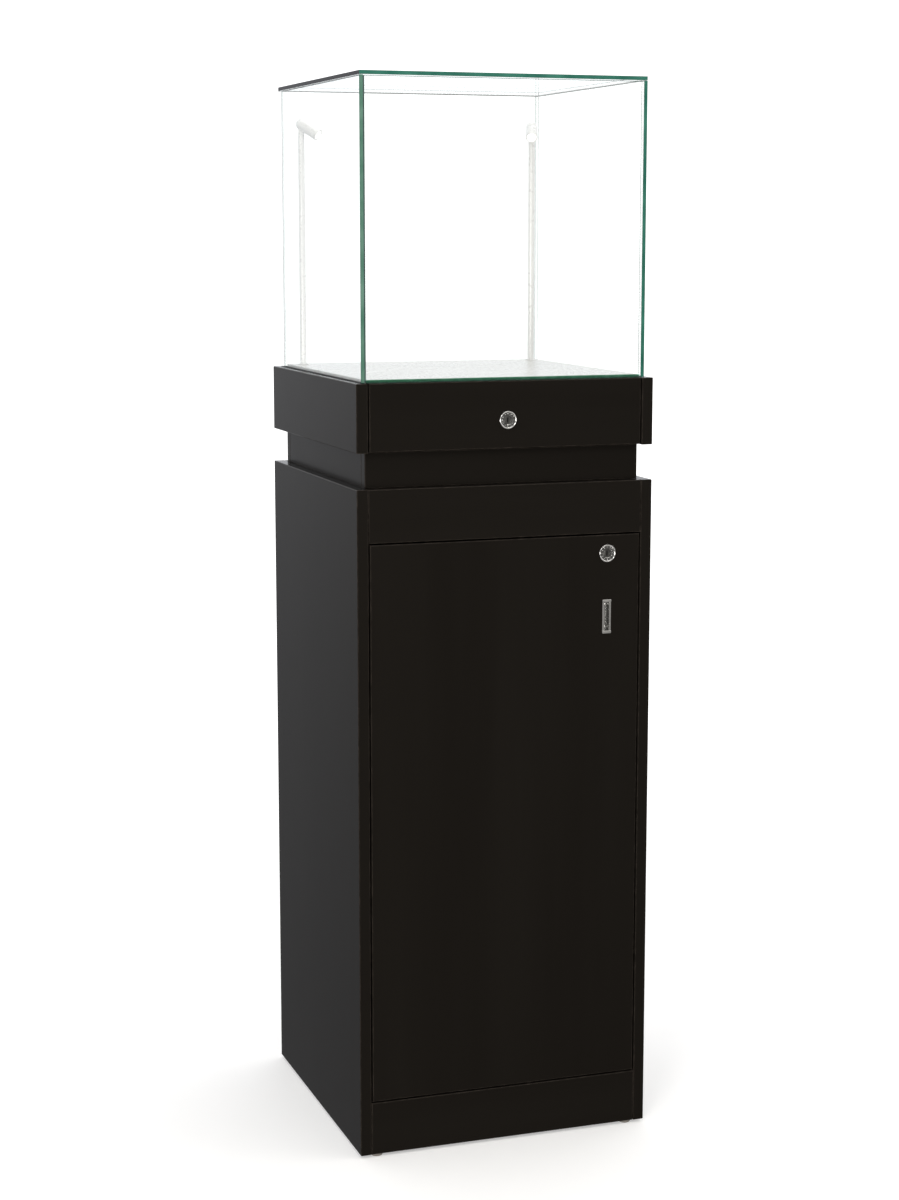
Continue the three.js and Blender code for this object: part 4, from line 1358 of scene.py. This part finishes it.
@dataclass
class Studio:
    """A plain pale floor, white surroundings, soft lamps and the camera."""

    lens: float = 69.56
    camera_place: Place = (-1.0270, -2.9484, 1.1988)
    camera_turn: float = 19.049
    camera_dip: float = 9.125
    floor_radius: float = 60.0
    levels: tuple[tuple[float, float], ...] = (
        (-0.8, 0.80), (-0.5, 0.32), (-0.33, 0.30), (-0.214, 0.41), (-0.155, 0.50), (-0.11, 0.61),
        (-0.075, 0.80), (0.0, 0.97), (0.1, 1.0),
    )
    glow: float = 1.45
    ahead: Colour = (0.50, 0.48, 0.455)
    behind: Colour = (1.10, 1.12, 1.17)
    lamps: list[Lamp] = field(
        default_factory=lambda: [
            Lamp("lamp_over", (0.2, -0.2, 3.4), (0.0, 0.0, 1.0), (2.6, 2.2), 22.0, (1.0, 0.975, 0.93)),
            Lamp("lamp_hood", (-1.3, -2.1, 2.0), (-0.1, 0.15, 1.25), (0.7, 0.7), 12.0, (1.0, 0.99, 0.97)),
            Lamp("lamp_front", (-1.8, -2.6, 0.5), (0.0, 0.0, 0.42), (0.8, 1.2), 44.0, (1.0, 0.97, 0.93)),
            Lamp("lamp_right", (2.8, -1.6, 2.0), (0.0, 0.0, 0.8), (1.4, 2.2), 12.0),
        ]
    )

    def camera(self) -> None:
        """Sets the camera where the photograph was taken from."""
        data = bpy.data.cameras.new("camera")
        data.sensor_fit, data.sensor_width, data.lens = "AUTO", 36.0, self.lens
        holder = linked("camera", data)
        holder.location = self.camera_place
        holder.rotation_euler = (math.radians(90 - self.camera_dip), 0.0, -math.radians(self.camera_turn))
        bpy.context.scene.camera = holder

    def floor(self) -> None:
        """Lays a pale floor that fades into the white surroundings."""
        part = bmesh.new()
        bmesh.ops.create_circle(part, cap_ends=True, segments=96, radius=self.floor_radius)
        mesh = bpy.data.meshes.new("floor")
        part.to_mesh(mesh)
        part.free()
        graph = Graph("Floor_pale")
        reach = graph.add("ShaderNodeVectorMath", {0: graph.place}, operation="LENGTH").outputs["Value"]
        far = graph.spread(reach, 0.0, 1.0, (0.5, 2.6))
        cloud = graph.spread(graph.noise(40.0), 0.0, 1.0)
        tone = graph.blend(cloud, (0.78, 0.78, 0.775), (0.80, 0.80, 0.795))
        pale = graph.add("ShaderNodeBsdfDiffuse", {"Color": tone})
        lift = graph.add("ShaderNodeEmission", {"Color": WHITE, "Strength": 0.36})
        near = graph.add("ShaderNodeAddShader", {0: pale.outputs[0], 1: lift.outputs[0]})
        glow = graph.add("ShaderNodeEmission", {"Color": WHITE, "Strength": self.glow})
        graph.end(graph.mix(far, near, glow))
        mesh.materials.append(graph.material)
        floor = linked("floor", mesh)
        floor.visible_glossy = False
        floor.visible_diffuse = False

    def surroundings(self) -> None:
        """Makes the surroundings white to look at, dimmer low down and in front as a source of light."""
        world = bpy.data.worlds.new("surroundings")
        bpy.context.scene.world = world
        world.use_nodes = True
        nodes = Nodes(world.node_tree)
        ways = nodes.add("ShaderNodeSeparateXYZ", {0: nodes.add("ShaderNodeTexCoord").outputs["Generated"]})
        along, back, up = ways.outputs
        upward = nodes.add("ShaderNodeValToRGB", {0: nodes.spread(up, 0.0, 1.0, (-1.0, 1.0))})
        ramp = upward.color_ramp.elements
        for place, level in self.levels:
            step = ramp.new(place / 2 + 0.5)
            step.color = (level, level, level, 1.0)
        ramp.remove(ramp[0])
        ramp.remove(ramp[-1])
        tone = nodes.blend(nodes.spread(back, 0.0, 1.0, (-0.35, 0.75)), self.ahead, self.behind)
        level = nodes.times(upward.outputs[0], nodes.spread(along, 0.85, 1.2, (-0.3, 0.2)))
        lit = nodes.add("ShaderNodeBackground", {"Color": tone, "Strength": level})
        seen = nodes.add("ShaderNodeBackground", {"Color": WHITE, "Strength": self.glow})
        direct = nodes.add("ShaderNodeLightPath").outputs["Is Camera Ray"]
        nodes.add("ShaderNodeOutputWorld", {"Surface": nodes.mix(direct, lit, seen).outputs[0]})

    def build(self) -> None:
        """Sets up the studio."""
        scene = bpy.context.scene
        scene.view_settings.view_transform = "Standard"
        scene.view_settings.look = "None"
        self.camera()
        self.floor()
        self.surroundings()
        for lamp in self.lamps:
            lamp.build()


def main() -> None:
    """Builds the looks of the case and its studio."""
    logging.basicConfig(level=logging.INFO, format="%(name)s: %(message)s")
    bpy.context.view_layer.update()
    Studio().build()
    deck_lock = (0.0, -200.0, 958.5)
    door_lock = (138.0, -200.0, 782.0)
    assemblies = [
        Cabinet(),
        GlassHood(),
        CamLock("deck", deck_lock, reach=31.0, set_back=6.0, cam_turn=0.0),
        CamLock("door", door_lock, reach=35.0, set_back=0.0, cam_turn=180.0),
        FlushPull(),
        ConcealedHinge("lower", 176.0),
        ConcealedHinge("upper", 706.0),
        BallSlide("left", -1),
        BallSlide("right", 1),
        PoleLight("left", -1),
        PoleLight("right", 1, turn=21.0),
        Footing(),
        Fittings(),
    ]
    for assembly in assemblies:
        assembly.build()
        LOG.info("built %s", type(assembly).__name__)


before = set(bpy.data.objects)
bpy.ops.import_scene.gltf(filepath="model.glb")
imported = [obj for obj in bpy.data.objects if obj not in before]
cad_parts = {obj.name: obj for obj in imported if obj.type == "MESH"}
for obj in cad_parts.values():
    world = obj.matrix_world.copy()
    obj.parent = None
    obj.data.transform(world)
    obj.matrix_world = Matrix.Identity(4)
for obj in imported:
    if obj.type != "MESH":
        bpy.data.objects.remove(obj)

if __name__ == "__main__":
    main()
